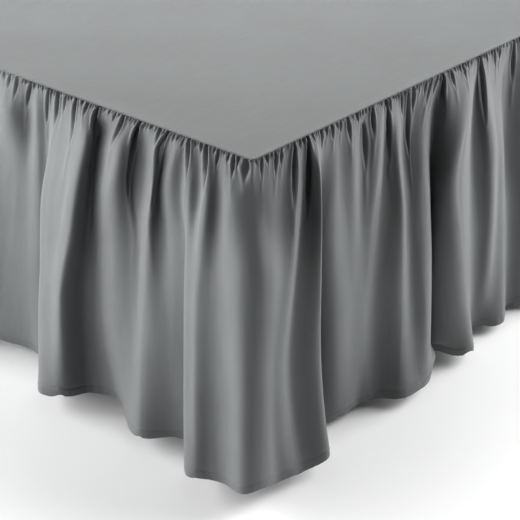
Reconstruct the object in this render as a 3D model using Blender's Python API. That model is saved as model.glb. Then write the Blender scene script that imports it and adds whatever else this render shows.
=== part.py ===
"""A gathered bed skirt on a plain bed base.

The skirt is a flat deck panel that lies on the base, and a ruffle gathered to the panel's rim on the
foot end and on both long sides. The head end is open. The ruffle is one strip in three lengths of
cloth: a front length that turns both foot corners, and a length along each side.

The origin is on the floor under the middle of the whole. +Z is up, +Y points to the head end, and the
foot end faces -Y.
"""

import math
import random
from collections import namedtuple

import bpy
import numpy as np

MM = 0.001

# The bed and the skirt, in metres.
DECK_WIDTH = 0.991
DECK_LENGTH = 1.905
DROP = 0.406
CLOTH = 0.0015
CORNER_RADIUS = 0.014
PIECE_GAP = 0.0003

# The base under the skirt, in metres.
BASE_INSET = 0.0065
BASE_THICKNESS = 0.229
BASE_CORNER_RADIUS = 0.030
BASE_EDGE_RADIUS = 0.006
LEG_HEIGHT = 0.187
LEG_TOP_SIDE = 0.056
LEG_FOOT_SIDE = 0.040
LEG_INSET = 0.062
LEG_ROWS = 3

# Heights that follow from them.
BASE_BOTTOM = LEG_HEIGHT + PIECE_GAP
BASE_TOP = BASE_BOTTOM + BASE_THICKNESS
DECK_BOTTOM = BASE_TOP + PIECE_GAP
RUFFLE_TOP = DECK_BOTTOM - PIECE_GAP - CLOTH / 2
SEAM_INSET = 0.0025

# How the ruffle is cut into faces: distances below the seam, and the widest faces at seam and hem.
LEVELS = (0.0, 0.016, 0.045, 0.095, 0.165, 0.260, 0.393, DROP)
WALK_STEP = 0.0058
SEAM_FACE = 0.0230
HEM_FACE = 0.0290
CORNER_BLEND = 0.12

# The gathers at the seam, and the smallest distance that a trough keeps from the deck's rim.
GATHER_DEPTH = 0.0026
GATHER_RISE = 0.010
GATHER_FADE = 0.055

# One row for each line that a fold follows down the ruffle. seam is where it starts on the rim. along
# runs from the near corner, between foot and right side: towards the left side as a negative number,
# and towards the head end as a positive one. out is the distance from the rim's plane. high, mid and
# hem are at the three SHARES of the drop. All are in millimetres.
Fold = namedtuple("Fold", "side seam high_out mid_along mid_out hem_along hem_out")
SHARES = (0.15, 0.4, 1.0)

NEAR_FOLDS = (
    Fold("foot", -482, 4, -488, 12, -503, 18),
    Fold("foot", -418, 20, -436, 38, -468, 40),
    Fold("foot", -372, 5, -378, 12, -396, 7),
    Fold("foot", -350, 9, -342, 12, -362, 8),
    Fold("foot", -332, 24, -304, 60, -307, 84),
    Fold("foot", -296, 26, -270, 60, -283, 82),
    Fold("foot", -257, 4, -242, 12, -237, 15),
    Fold("foot", -226, 22, -202, 42, -186, 44),
    Fold("foot", -180, 9, -168, 44, -158, 64),
    Fold("foot", -158, 24, -134, 58, -130, 71),
    Fold("foot", -132, 4, -116, 14, -98, 18),
    Fold("foot", -114, 20, -96, 30, -84, 20),
    Fold("foot", -101, 12, -74, 24, -64, 36),
    Fold("foot", -86, 30, -42, 70, -30, 95),
    Fold("foot", -64, 20, -18, 56, -8, 81),
    Fold("foot", -38, 29, 12, 60, 18, 72),
    Fold("foot", -18, 22, 36, 62, 46, 81),
    Fold("side", 24, 22, -30, 60, -28, 68),
    Fold("side", 56, 16, -14, 57, -10, 71),
    Fold("side", 76, 30, 4, 60, 6, 76),
    Fold("side", 98, 10, 28, 50, 28, 76),
    Fold("side", 116, 32, 52, 66, 54, 80),
    Fold("side", 132, 5, 90, 14, 98, 16),
    Fold("side", 144, 20, 120, 24, 130, 24),
    Fold("side", 160, 7, 136, 18, 142, 26),
    Fold("side", 177, 24, 152, 34, 154, 27),
    Fold("side", 195, 9, 168, 24, 170, 26),
    Fold("side", 216, 27, 188, 44, 182, 26),
    Fold("side", 244, 5, 216, 10, 200, 28),
    Fold("side", 266, 26, 232, 56, 226, 70),
    Fold("side", 291, 9, 262, 44, 256, 71),
    Fold("side", 338, 27, 284, 60, 284, 69),
    Fold("side", 368, 5, 318, 12, 332, 14),
    Fold("side", 382, 13, 338, 18, 347, 18),
    Fold("side", 398, 26, 354, 52, 369, 67),
    Fold("side", 426, 26, 378, 58, 388, 69),
    Fold("side", 448, 5, 412, 12, 428, 14),
    Fold("side", 462, 14, 438, 22, 452, 24),
    Fold("side", 482, 24, 458, 46, 466, 52),
    Fold("side", 504, 22, 486, 46, 494, 53),
)

# The far foot corner, where along runs from that corner: negative towards the near corner, and
# positive towards the head end.
FAR_FOLDS = (
    Fold("far_foot", -128, 5, -120, 12, -124, 20),
    Fold("far_foot", -102, 24, -84, 52, -82, 70),
    Fold("far_foot", -70, 14, -50, 46, -46, 64),
    Fold("far_foot", -42, 29, -10, 62, -4, 84),
    Fold("far_foot", -18, 22, 30, 60, 38, 76),
    Fold("far_side", 24, 24, -26, 58, -22, 66),
    Fold("far_side", 62, 19, 20, 58, 26, 78),
    Fold("far_side", 90, 29, 58, 56, 62, 70),
    Fold("far_side", 112, 5, 94, 14, 98, 20),
)

# Folds away from the two foot corners: each takes its pitch, depth, hollow and lean from these
# ranges. A wide one has a double crest.
FOLD_SEED = 11
PITCH = (98, 150)
DEPTH = (60, 84)
HOLLOW = (8, 22)
LEAN = (-16, 16)
DOUBLE_CREST_PITCH = 112

# A fold's lines as shares of its pitch and of its depth, and the hollow that ends it.
Line = namedtuple("Line", "seam high_out mid_along mid_out hem_along hem_out")
SINGLE_CREST = (Line(0.30, 0.34, 0.36, 0.74, 0.36, 0.94), Line(0.66, 0.36, 0.62, 0.74, 0.66, 0.96))
DOUBLE_CREST = (
    Line(0.24, 0.33, 0.32, 0.72, 0.32, 0.90),
    Line(0.47, 0.12, 0.48, 0.56, 0.50, 1.00),
    Line(0.70, 0.36, 0.66, 0.76, 0.69, 0.94),
)

# Where the ruffle's three lengths of cloth are joined: halfway along the flank that ends at each of
# these seam positions, in millimetres, where the cloth runs straight. Then the gap left there.
FAR_CORNER = -DECK_WIDTH / MM
JOINS = (FAR_CORNER - 90.0, 132.0)
RUFFLE_NAMES = ("ruffle_left", "ruffle_foot", "ruffle_right")
JOIN_GAP = 0.0011

# The deck in plan. The foot ruffle reaches further out than the head end, so the deck sits that much
# towards the head, and the origin is in the middle of the whole.
FOOT_REACH = 0.095
HALF_WIDTH = DECK_WIDTH / 2
FOOT_Y = (FOOT_REACH - DECK_LENGTH) / 2
HEAD_Y = FOOT_Y + DECK_LENGTH


def clear_scene():
    for obj in list(bpy.data.objects):
        bpy.data.objects.remove(obj, do_unlink=True)


def material(name, color, roughness, metallic=0.0):
    made = bpy.data.materials.new(name)
    made.use_nodes = True
    shader = made.node_tree.nodes["Principled BSDF"]
    shader.inputs["Base Color"].default_value = (*color, 1.0)
    shader.inputs["Roughness"].default_value = roughness
    shader.inputs["Metallic"].default_value = metallic
    return made


def mesh_object(name, points, faces, finish):
    mesh = bpy.data.meshes.new(name)
    mesh.from_pydata([tuple(map(float, p)) for p in points], [], faces)
    mesh.validate()
    mesh.materials.append(finish)
    obj = bpy.data.objects.new(name, mesh)
    bpy.context.scene.collection.objects.link(obj)
    return obj


def rim(seam):
    """Points of the deck's rim in plan, for seam positions in millimetres from the near corner.

    The rim runs from the left side's head end, round the far and the near foot corner, to the right
    side's head end. Each corner is an arc, centred one radius in from both edges.
    """
    radius = CORNER_RADIUS / MM
    inset = SEAM_INSET / MM
    width, foot, side = DECK_WIDTH / MM, FOOT_Y / MM, HALF_WIDTH / MM
    seam = np.asarray(seam, float)
    x = np.empty_like(seam)
    y = np.empty_like(seam)
    for sign, corner in ((1, 0.0), (-1, FAR_CORNER)):
        past = sign * (seam - corner)
        mine = (seam >= -width / 2) == (sign > 0)
        turn = np.clip((past + radius) / (2 * radius), 0, 1) * math.pi / 2
        straight_in = np.minimum(past + radius, 0)
        straight_up = np.maximum(past - radius, 0)
        reach = radius - inset
        px = side - radius + reach * np.sin(turn) + straight_in
        py = foot + radius - reach * np.cos(turn) + straight_up
        x[mine] = sign * px[mine]
        y[mine] = py[mine]
    return np.stack([x, y], axis=-1)


def place(side, along, out):
    """A point in plan, in millimetres, from a fold's own along and out."""
    foot, edge = FOOT_Y / MM, HALF_WIDTH / MM
    if side == "foot":
        return (edge + along, foot - out)
    if side == "side":
        return (edge + out, foot + along)
    if side == "far_foot":
        return (-edge - along, foot - out)
    return (-edge - out, foot + along)


def seam_position(fold):
    """Where a fold starts, along the whole rim, from the near corner."""
    return fold.seam if fold.side in ("foot", "side") else FAR_CORNER - fold.seam


def plain_folds(side, start, end, rng):
    """Folds that fill the rim from start to end, in the side's own along. The last row is a hollow."""
    pitches = []
    while sum(pitches) < end - start:
        pitches.append(rng.uniform(*PITCH))
    scale = (end - start) / sum(pitches)
    rows = []
    at = start
    for pitch in (pitch * scale for pitch in pitches):
        depth = rng.uniform(*DEPTH)
        hollow = rng.uniform(*HOLLOW)
        lean = rng.uniform(*LEAN)
        for line in DOUBLE_CREST if pitch > DOUBLE_CREST_PITCH else SINGLE_CREST:
            rows.append(
                Fold(
                    side,
                    at + line.seam * pitch,
                    line.high_out * depth,
                    at + line.mid_along * pitch + lean / 2,
                    line.mid_out * depth,
                    at + line.hem_along * pitch + lean,
                    line.hem_out * depth,
                )
            )
        at += pitch
        rows.append(Fold(side, at, 5, at + lean / 3, hollow * 0.7, at + lean / 2, hollow))
    return rows


def end_fold(side, along):
    """The ruffle's end at the head end of the deck, which hangs almost straight down."""
    return Fold(side, along, 10, along - 1, 16, along - 2, 24)


def all_folds():
    """Every fold's row, from the left side's head end to the right side's."""
    rng = random.Random(FOLD_SEED)
    head = (DECK_LENGTH - PIECE_GAP) / MM
    right_hollow = Fold("side", 532, 5, 520, 12, 530, 18)
    left_hollow = Fold("far_side", 138, 5, 132, 12, 134, 22)
    right = plain_folds("side", right_hollow.seam, head - 40, rng) + [end_fold("side", head)]
    left = plain_folds("far_side", left_hollow.seam, head - 40, rng) + [end_fold("far_side", head)]
    foot = plain_folds("foot", FAR_CORNER - FAR_FOLDS[0].seam, NEAR_FOLDS[0].seam, rng)[:-1]
    near = list(NEAR_FOLDS) + [right_hollow] + right
    return left[::-1] + [left_hollow] + list(FAR_FOLDS[::-1]) + foot + near


def monotone(knots, values, at):
    """A smooth run through the values at the knots that never overshoots them, read at one place."""
    count = len(knots)
    spans = [b - a for a, b in zip(knots, knots[1:])]
    rises = [(b - a) / span for a, b, span in zip(values, values[1:], spans)]
    slopes = [0.0] * count
    for i in range(1, count - 1):
        before, after = rises[i - 1], rises[i]
        if before * after > 0:
            near, far = spans[i] + 2 * spans[i - 1], 2 * spans[i] + spans[i - 1]
            slopes[i] = (near + far) / (far / before + near / after)
    for end, rise, next_rise, span, next_span in (
        (0, rises[0], rises[1], spans[0], spans[1]),
        (-1, rises[-1], rises[-2], spans[-1], spans[-2]),
    ):
        slope = rise + (rise - next_rise) * span / (span + next_span)
        slopes[end] = sorted((0.0, slope, 3 * rise))[1]
    i = min(sum(at > knot for knot in knots[1:-1]), count - 2)
    u = (at - knots[i]) / spans[i]
    ease = u * u * (3 - 2 * u)
    bulge = u * (1 - u) * spans[i] * (slopes[i] * (1 - u) - slopes[i + 1] * u)
    return values[i] + (values[i + 1] - values[i]) * ease + bulge


def fold_points(folds, share):
    """Where each fold's line is in plan at a share of the drop, in millimetres."""
    high, mid, hem = SHARES
    points = []
    for fold in folds:
        along = monotone((0.0, mid, hem), (fold.seam, fold.mid_along, fold.hem_along), share)
        outs = (-SEAM_INSET / MM, fold.high_out, fold.mid_out, fold.hem_out)
        out = monotone((0.0, high, mid, hem), outs, share)
        points.append(place(fold.side, along, out))
    return np.array(points)


def curve_through(points, segment, fraction):
    """A natural cubic curve through the points, read at a fraction of the way along each segment."""
    count = len(points)
    chord = np.linalg.norm(np.diff(points, axis=0), axis=1)
    slope = np.diff(points, axis=0) / chord[:, None]
    system = np.eye(count)
    right = np.zeros((count, 2))
    for i in range(1, count - 1):
        system[i, i - 1 : i + 2] = chord[i - 1], 2 * (chord[i - 1] + chord[i]), chord[i]
        right[i] = 6 * (slope[i] - slope[i - 1])
    bend = np.linalg.solve(system, right)
    far = fraction[:, None]
    near = 1 - far
    curved = (near**3 - near) * bend[segment] + (far**3 - far) * bend[segment + 1]
    flat = near * points[segment] + far * points[segment + 1]
    return flat + curved * chord[segment][:, None] ** 2 / 6


def level_curve(folds, share, segment, fraction):
    """The ruffle in plan at a share of its drop: the rim itself at the seam, the folds below it."""
    seams = np.array([seam_position(fold) for fold in folds])
    points = fold_points(folds, share)
    offsets = points - rim(seams)
    ease = (fraction * fraction * (3 - 2 * fraction))[:, None]
    moved = (1 - ease) * offsets[segment] + ease * offsets[segment + 1]
    base = rim(seams[segment] * (1 - fraction) + seams[segment + 1] * fraction)
    blend = min(share / CORNER_BLEND, 1.0)
    blend = blend * blend * (3 - 2 * blend)
    return (1 - blend) * (base + moved) + blend * curve_through(points, segment, fraction)


def columns_between(folds):
    """How the ruffle is divided: each column's segment between two folds, and how far along it."""
    hems = fold_points(folds, 1.0)
    seams = np.array([seam_position(fold) for fold in folds])
    segment, fraction = [], []
    for i in range(len(folds) - 1):
        seam_width = abs(seams[i + 1] - seams[i]) * MM
        hem_width = np.linalg.norm(hems[i + 1] - hems[i]) * MM
        count = max(2, math.ceil(seam_width / SEAM_FACE), math.ceil(hem_width / HEM_FACE))
        segment += [i] * count
        fraction += [step / count for step in range(count)]
    return np.array(segment + [len(folds) - 2]), np.array(fraction + [1.0])


def overhang(points):
    """How far points in plan stand out from the deck, in metres."""
    past_side = np.maximum(np.abs(points[:, 0]) - HALF_WIDTH, 0)
    past_foot = np.maximum(FOOT_Y - points[:, 1], 0)
    return np.hypot(past_side, past_foot)


def hang(folds, segment, fraction):
    """The ruffle's middle surface: for each distance below the seam, a row of points in metres.

    The cloth keeps its length from seam to hem, so a fold that stands further out ends higher up.
    """
    steps = round(DROP / WALK_STEP)
    plan = [level_curve(folds, step / steps, segment, fraction) * MM for step in range(steps + 1)]
    fall = np.zeros(len(segment))
    walk = [np.column_stack([plan[0], np.full(len(segment), RUFFLE_TOP)])]
    thread = DROP / steps
    for before, after in zip(plan, plan[1:]):
        aside = overhang(after) - overhang(before)
        fall += np.sqrt(np.maximum(thread**2 - aside**2, (0.3 * thread) ** 2))
        walk.append(np.column_stack([after, RUFFLE_TOP - fall]))
    walk = np.array(walk)
    rows = []
    for level in LEVELS:
        at = level / thread
        low = min(int(at), steps - 1)
        rows.append(walk[low] + (walk[low + 1] - walk[low]) * (at - low))
    return np.array(rows)


def gathered(rows, joins, rng):
    """The same rows with the gathers pushed in and out, column by column, near the seam."""
    push = np.array([(-1) ** column * rng.uniform(0.6, 1.3) for column in range(rows.shape[1])])
    push[joins] = 0.0
    done = rows.copy()
    for row, level in enumerate(LEVELS):
        along = np.gradient(rows[row, :, :2], axis=0)
        along /= np.linalg.norm(along, axis=1)[:, None]
        outward = np.column_stack([along[:, 1], -along[:, 0]])
        depth = GATHER_DEPTH * min(level / GATHER_RISE, 1.0) * math.exp(-level / GATHER_FADE)
        done[row, :, :2] += outward * (push * depth)[:, None]
    return done


def join_column(folds, segment, join):
    """The column halfway along the flank that ends at the fold nearest to a join."""
    seams = [seam_position(fold) for fold in folds]
    nearest = min(range(len(seams)), key=lambda i: abs(seams[i] - join))
    flank = np.flatnonzero(segment == nearest - 1)
    return int(flank[len(flank) // 2])


def build_ruffle(finish):
    folds = all_folds()
    segment, fraction = columns_between(folds)
    joins = [join_column(folds, segment, join) for join in JOINS]
    rows = gathered(hang(folds, segment, fraction), joins, random.Random(FOLD_SEED + 1))
    ends = [0, *joins, rows.shape[1] - 1]
    for name, first, last in zip(RUFFLE_NAMES, ends, ends[1:]):
        build_length(name, rows[:, first : last + 1].copy(), finish)


def build_length(name, rows, finish):
    """One length of the ruffle as a closed sheet, drawn back a little at each end from its join."""
    for end, inner in ((0, 1), (-1, -2)):
        back = rows[:, inner] - rows[:, end]
        back[:, 2] = 0
        rows[:, end] += back / np.linalg.norm(back, axis=1)[:, None] * JOIN_GAP / 2
    levels, columns = rows.shape[:2]
    faces = []
    for row in range(levels - 1):
        for column in range(columns - 1):
            a = row * columns + column
            b, c, d = a + 1, a + columns + 1, a + columns
            faces += [(a, b, c), (a, c, d)] if column % 2 else [(a, b, d), (b, c, d)]
    sheet = mesh_object(name, rows.reshape(-1, 3), faces, finish)
    solid = sheet.modifiers.new("Cloth", "SOLIDIFY")
    solid.thickness = CLOTH
    solid.offset = 0.0
    solid.use_even_offset = True
    return sheet


def rounded_outline(half_x, low_y, high_y, radii, steps=6):
    """Corners of a rectangle, anticlockwise from the low right one, each rounded by its own radius."""
    points = []
    corners = (
        (half_x, low_y, -90, radii[0]),
        (half_x, high_y, 0, radii[1]),
        (-half_x, high_y, 90, radii[2]),
        (-half_x, low_y, 180, radii[3]),
    )
    for x, y, start, radius in corners:
        if not radius:
            points.append((x, y))
            continue
        middle = (x - math.copysign(radius, x), y - math.copysign(radius, y))
        for step in range(steps + 1):
            turn = math.radians(start + 90 * step / steps)
            points.append((middle[0] + radius * math.cos(turn), middle[1] + radius * math.sin(turn)))
    return points


def slab(name, outline, low, high, finish):
    """A flat plate of the outline between two heights."""
    count = len(outline)
    points = [(x, y, low) for x, y in outline] + [(x, y, high) for x, y in outline]
    faces = [tuple(reversed(range(count))), tuple(range(count, 2 * count))]
    for i in range(count):
        j = (i + 1) % count
        faces.append((i, j, count + j, count + i))
    return mesh_object(name, points, faces, finish)


def build_deck(finish):
    radii = (CORNER_RADIUS, 0, 0, CORNER_RADIUS)
    outline = rounded_outline(HALF_WIDTH, FOOT_Y, HEAD_Y, radii)
    return slab("deck_panel", outline, DECK_BOTTOM, DECK_BOTTOM + CLOTH, finish)


def build_base(finish):
    half_x = HALF_WIDTH - BASE_INSET
    ends = (FOOT_Y + BASE_INSET, HEAD_Y - BASE_INSET)
    outline = rounded_outline(half_x, *ends, (BASE_CORNER_RADIUS,) * 4)
    base = slab("bed_base", outline, BASE_BOTTOM, BASE_TOP, finish)
    edges = base.modifiers.new("Edges", "BEVEL")
    edges.width = BASE_EDGE_RADIUS
    edges.segments = 2
    edges.limit_method = "ANGLE"
    edges.angle_limit = math.radians(60)
    return base


def build_legs(finish):
    """Tapered square legs in two rows under the base, numbered from the foot end."""
    reach_x = HALF_WIDTH - BASE_INSET - LEG_INSET
    first_y = FOOT_Y + BASE_INSET + LEG_INSET
    pitch = (DECK_LENGTH - 2 * (BASE_INSET + LEG_INSET)) / (LEG_ROWS - 1)
    number = 1
    for row in range(LEG_ROWS):
        y = first_y + pitch * row
        for x in (-reach_x, reach_x):
            points = []
            for side, z in ((LEG_FOOT_SIDE, 0.0), (LEG_TOP_SIDE, LEG_HEIGHT)):
                half = side / 2
                points += [(x + i * half, y + j * half, z) for i, j in ((-1, -1), (1, -1), (1, 1), (-1, 1))]
            faces = [(3, 2, 1, 0), (4, 5, 6, 7)]
            faces += [(i, (i + 1) % 4, 4 + (i + 1) % 4, 4 + i) for i in range(4)]
            mesh_object(f"leg_{number}", points, faces, finish)
            number += 1


def main():
    clear_scene()
    cloth = material("skirt cloth", (0.235, 0.245, 0.25), 0.72)
    cover = material("base cover", (0.62, 0.60, 0.56), 0.85)
    wood = material("leg wood", (0.30, 0.19, 0.11), 0.5)
    build_deck(cloth)
    build_ruffle(cloth)
    build_base(cover)
    build_legs(wood)


if __name__ == "__main__":
    main()
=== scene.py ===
"""A gathered bed skirt on a plain single bed base: cloth, stitching, wood, light and camera.

The skirt is a deck panel that lies on the base, and a ruffle gathered to the panel's rim on the foot
end and both long sides. Each sub-assembly is a class with its sizes as fields. Lengths are metres
unless a name or a docstring says millimetres.
"""

import logging
import math
import random
from dataclasses import dataclass, field
from enum import Enum
from typing import Any, Callable, NamedTuple, Sequence

import bpy
import numpy as np
from mathutils import Matrix, Vector


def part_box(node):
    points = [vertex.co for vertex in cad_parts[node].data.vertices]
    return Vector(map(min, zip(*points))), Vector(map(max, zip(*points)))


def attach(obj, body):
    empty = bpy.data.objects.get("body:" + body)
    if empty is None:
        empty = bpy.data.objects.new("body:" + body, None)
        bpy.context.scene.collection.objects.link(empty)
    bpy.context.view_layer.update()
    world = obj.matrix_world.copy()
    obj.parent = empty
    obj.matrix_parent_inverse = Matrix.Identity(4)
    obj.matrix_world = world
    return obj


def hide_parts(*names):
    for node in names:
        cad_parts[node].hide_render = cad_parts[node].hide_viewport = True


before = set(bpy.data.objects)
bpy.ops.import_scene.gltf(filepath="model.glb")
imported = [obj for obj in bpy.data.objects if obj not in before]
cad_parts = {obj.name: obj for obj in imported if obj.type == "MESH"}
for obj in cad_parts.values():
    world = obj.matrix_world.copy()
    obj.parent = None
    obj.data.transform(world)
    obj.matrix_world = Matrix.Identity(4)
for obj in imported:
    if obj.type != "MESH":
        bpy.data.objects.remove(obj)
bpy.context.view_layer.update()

log = logging.getLogger("bed_skirt")
MM = 0.001


class Side(Enum):
    """An edge of the deck, and with it the corner that a fold is measured from."""

    FOOT = "foot"
    RIGHT = "right"
    FAR_FOOT = "far foot"
    LEFT = "left"


class Fold(NamedTuple):
    """A line that a crest or a trough follows down the ruffle, in millimetres.

    seam is where it starts on the rim. along runs from the near corner, between the foot end and the
    right side: towards the left side as a negative number, and towards the head end as a positive
    one. A fold of FAR_FOOT or LEFT is measured from the far foot corner in the same way. out is the
    distance from the rim's plane. high, mid, low and hem lie at the four SHARES of the drop.
    """

    side: Side
    seam: float
    high_along: float
    high_out: float
    mid_along: float
    mid_out: float
    low_along: float
    low_out: float
    hem_along: float
    hem_out: float


class Line(NamedTuple):
    """A crest or trough of a plain fold, as shares of the fold's pitch and of its depth."""

    seam: float
    high_along: float
    high_out: float
    mid_along: float
    mid_out: float
    low_along: float
    low_out: float
    hem_along: float
    hem_out: float


class Slit(NamedTuple):
    """A pinched trough between two gathers, in millimetres.

    seam is its place on the rim, length how far down it reaches, width its half width, depth how far
    it goes in, and start how far below the seam it begins.
    """

    seam: float
    length: float
    width: float
    depth: float
    start: float = 0.0


# The heights at which a fold's row places it, and how much of its lean it has there.
SHARES = (0.14, 0.36, 0.66, 1.0)
LEANS = (0.1, 0.35, 0.65, 1.0)
# The lowest rows of the ruffle's mesh use every fourth column.
COARSEST_STEP = 4
DECK_WIDTH_MM = 991.0
FAR_CORNER = -DECK_WIDTH_MM

NEAR_FOLDS = (
    Fold(Side.FOOT, -482, -484, 4, -487, 14, -492, 20, -502, 24),
    Fold(Side.FOOT, -392, -386.1, 13, -405.6, 10, -434, 10, -475, 23),
    Fold(Side.FOOT, -374, -378.7, 6, -382.9, 9, -392.6, 12, -402.4, 8),
    Fold(Side.FOOT, -363, -354.6, 12, -360.7, 13, -372.1, 14, -387.4, 12),
    Fold(Side.FOOT, -350, -341.3, 7, -345.7, 10, -352.4, 12, -349.2, 24),
    Fold(Side.FOOT, -329, -325.9, 14, -331.5, 32, -331.7, 47, -303, 84.2),
    Fold(Side.FOOT, -300, -281.3, 26, -282.3, 49, -291.7, 61, -283.4, 81.4),
    Fold(Side.FOOT, -254, -241.1, 30, -244.6, 55, -265, 68, -267.6, 70.9),
    Fold(Side.FOOT, -248, -250.3, 13, -253, 27, -262.2, 36, -265.9, 37.6),
    Fold(Side.FOOT, -184, -180.6, 28, -185.2, 44, -192.5, 48, -202.7, 33.8),
    Fold(Side.FOOT, -177, -178.9, 13, -153.9, 34, -149.5, 50, -151, 64.8),
    Fold(Side.FOOT, -137, -130, 24, -127, 42, -131, 56, -128.6, 67.2),
    Fold(Side.FOOT, -130, -134, 17, -118, 35, -98, 48, -104.8, 37.6),
    Fold(Side.FOOT, -112, -111.6, 22, -93.3, 36, -83.3, 44, -86.3, 31),
    Fold(Side.FOOT, -104, -97, 17, -65.3, 38, -61.8, 42, -62.7, 34),
    Fold(Side.FOOT, -96, -73.1, 27, -56.2, 56, -44.2, 74, -26.7, 94.3),
    Fold(Side.FOOT, -80, -64.2, 23, -39.3, 62, -30.9, 78, -17.7, 95.8),
    Fold(Side.FOOT, -64, -41, 31, -22.9, 66, -16.7, 81, -8.9, 92.9),
    Fold(Side.FOOT, -52, -34.2, 25, -9.5, 62, -6.3, 75, 0.2, 83.3),
    Fold(Side.FOOT, -43, -17.6, 28, 17.1, 65, 30.9, 76, 23, 79.7),
    Fold(Side.FOOT, -18, 5.7, 27, 43.8, 67, 57.6, 80, 63.9, 87.9),
    Fold(Side.RIGHT, 24, -6.4, 22, -48.2, 60, -58.9, 68, -57.2, 73),
    Fold(Side.RIGHT, 64, 25.9, 24, -10.7, 56, -36.6, 64, -25.9, 66.6),
    Fold(Side.RIGHT, 70, 34.7, 27, -1.9, 56, -24.8, 63, -16.7, 68.3),
    Fold(Side.RIGHT, 77, 46.5, 29, 11.7, 52, -5.7, 56, -6.2, 70.5),
    Fold(Side.RIGHT, 94, 71.7, 20, 34.4, 42, 16.6, 48, 12.1, 71.1),
    Fold(Side.RIGHT, 100, 76.6, 34, 51.5, 58, 45.9, 64, 40, 84.3),
    Fold(Side.RIGHT, 132, 102.3, 10, 78.9, 8, 86.7, 10, 104, 11),
    Fold(Side.RIGHT, 144, 131, 14, 96, 28, 97, 30, 134.7, 23.3),
    Fold(Side.RIGHT, 160, 143, 13, 139, 29, 138, 36, 149.9, 26),
    Fold(Side.RIGHT, 180, 163, 17, 153, 29, 150, 34, 164.8, 25.9),
    Fold(Side.RIGHT, 200, 186, 12, 172, 27, 173, 32, 181.2, 24.7),
    Fold(Side.RIGHT, 238, 214, 20, 188, 30, 183, 30, 194.3, 29.5),
    Fold(Side.RIGHT, 246, 239, 10, 222, 27, 208, 29, 209.2, 34.7),
    Fold(Side.RIGHT, 253, 245, 17, 233, 41, 235, 46, 218.2, 57.4),
    Fold(Side.RIGHT, 291, 277, 6, 261, 33, 265, 41, 251.3, 69),
    Fold(Side.RIGHT, 361, 311, 16, 275, 43, 283, 50, 275.3, 68.1),
    Fold(Side.RIGHT, 367, 350, 6, 332, 16, 337, 14, 330, 24),
    Fold(Side.RIGHT, 370, 351, 19, 328, 23, 326, 27, 333, 19),
    Fold(Side.RIGHT, 375, 360, 26, 322, 45, 343, 52, 364.1, 63.6),
    Fold(Side.RIGHT, 445, 411, 20, 375, 43, 384, 47, 385.3, 67.5),
    Fold(Side.RIGHT, 450, 434, 12, 428, 29, 429, 38, 429, 26),
    Fold(Side.RIGHT, 453, 439, 19, 437, 39, 439, 44, 453, 33),
    Fold(Side.RIGHT, 470, 460, 17, 461, 35, 466, 39, 463, 44.5),
    Fold(Side.RIGHT, 504, 490, 10, 478, 32, 485, 38, 483.1, 51.7),
)

FAR_FOLDS = (
    Fold(Side.FAR_FOOT, -128, -124, 5, -120, 11, -120, 17, -124, 20),
    Fold(Side.FAR_FOOT, -102, -93, 23, -84, 49, -83, 64, -82, 70),
    Fold(Side.FAR_FOOT, -70, -61, 13, -51, 43, -47, 58, -46, 64),
    Fold(Side.FAR_FOOT, -42, -27, 27, -11, 59, -6, 76, -4, 84),
    Fold(Side.FAR_FOOT, -18, 4, 20, 28, 57, 35, 71, 38, 76),
    Fold(Side.LEFT, 24, -1, 22, -25, 56, -26, 63, -22, 66),
    Fold(Side.LEFT, 62, 41, 18, 21, 54, 20, 71, 26, 78),
    Fold(Side.LEFT, 90, 74, 28, 58, 54, 58, 65, 62, 70),
    Fold(Side.LEFT, 112, 103, 5, 94, 13, 94, 18, 98, 20),
)

RIGHT_HOLLOW = Fold(Side.RIGHT, 532, 526, 2, 525, 7, 528, 22, 528, 26)
LEFT_HOLLOW = Fold(Side.LEFT, 138, 135, 5, 132, 11, 132, 17, 134, 22)

SINGLE_CREST = (
    Line(0.28, 0.31, 0.30, 0.34, 0.58, 0.36, 0.80, 0.36, 0.94),
    Line(0.66, 0.65, 0.32, 0.63, 0.58, 0.64, 0.80, 0.66, 0.96),
)
DOUBLE_CREST = (
    Line(0.22, 0.25, 0.29, 0.30, 0.56, 0.32, 0.78, 0.32, 0.90),
    Line(0.47, 0.47, 0.16, 0.48, 0.44, 0.49, 0.74, 0.50, 1.00),
    Line(0.72, 0.70, 0.31, 0.67, 0.60, 0.68, 0.80, 0.69, 0.94),
)

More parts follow.
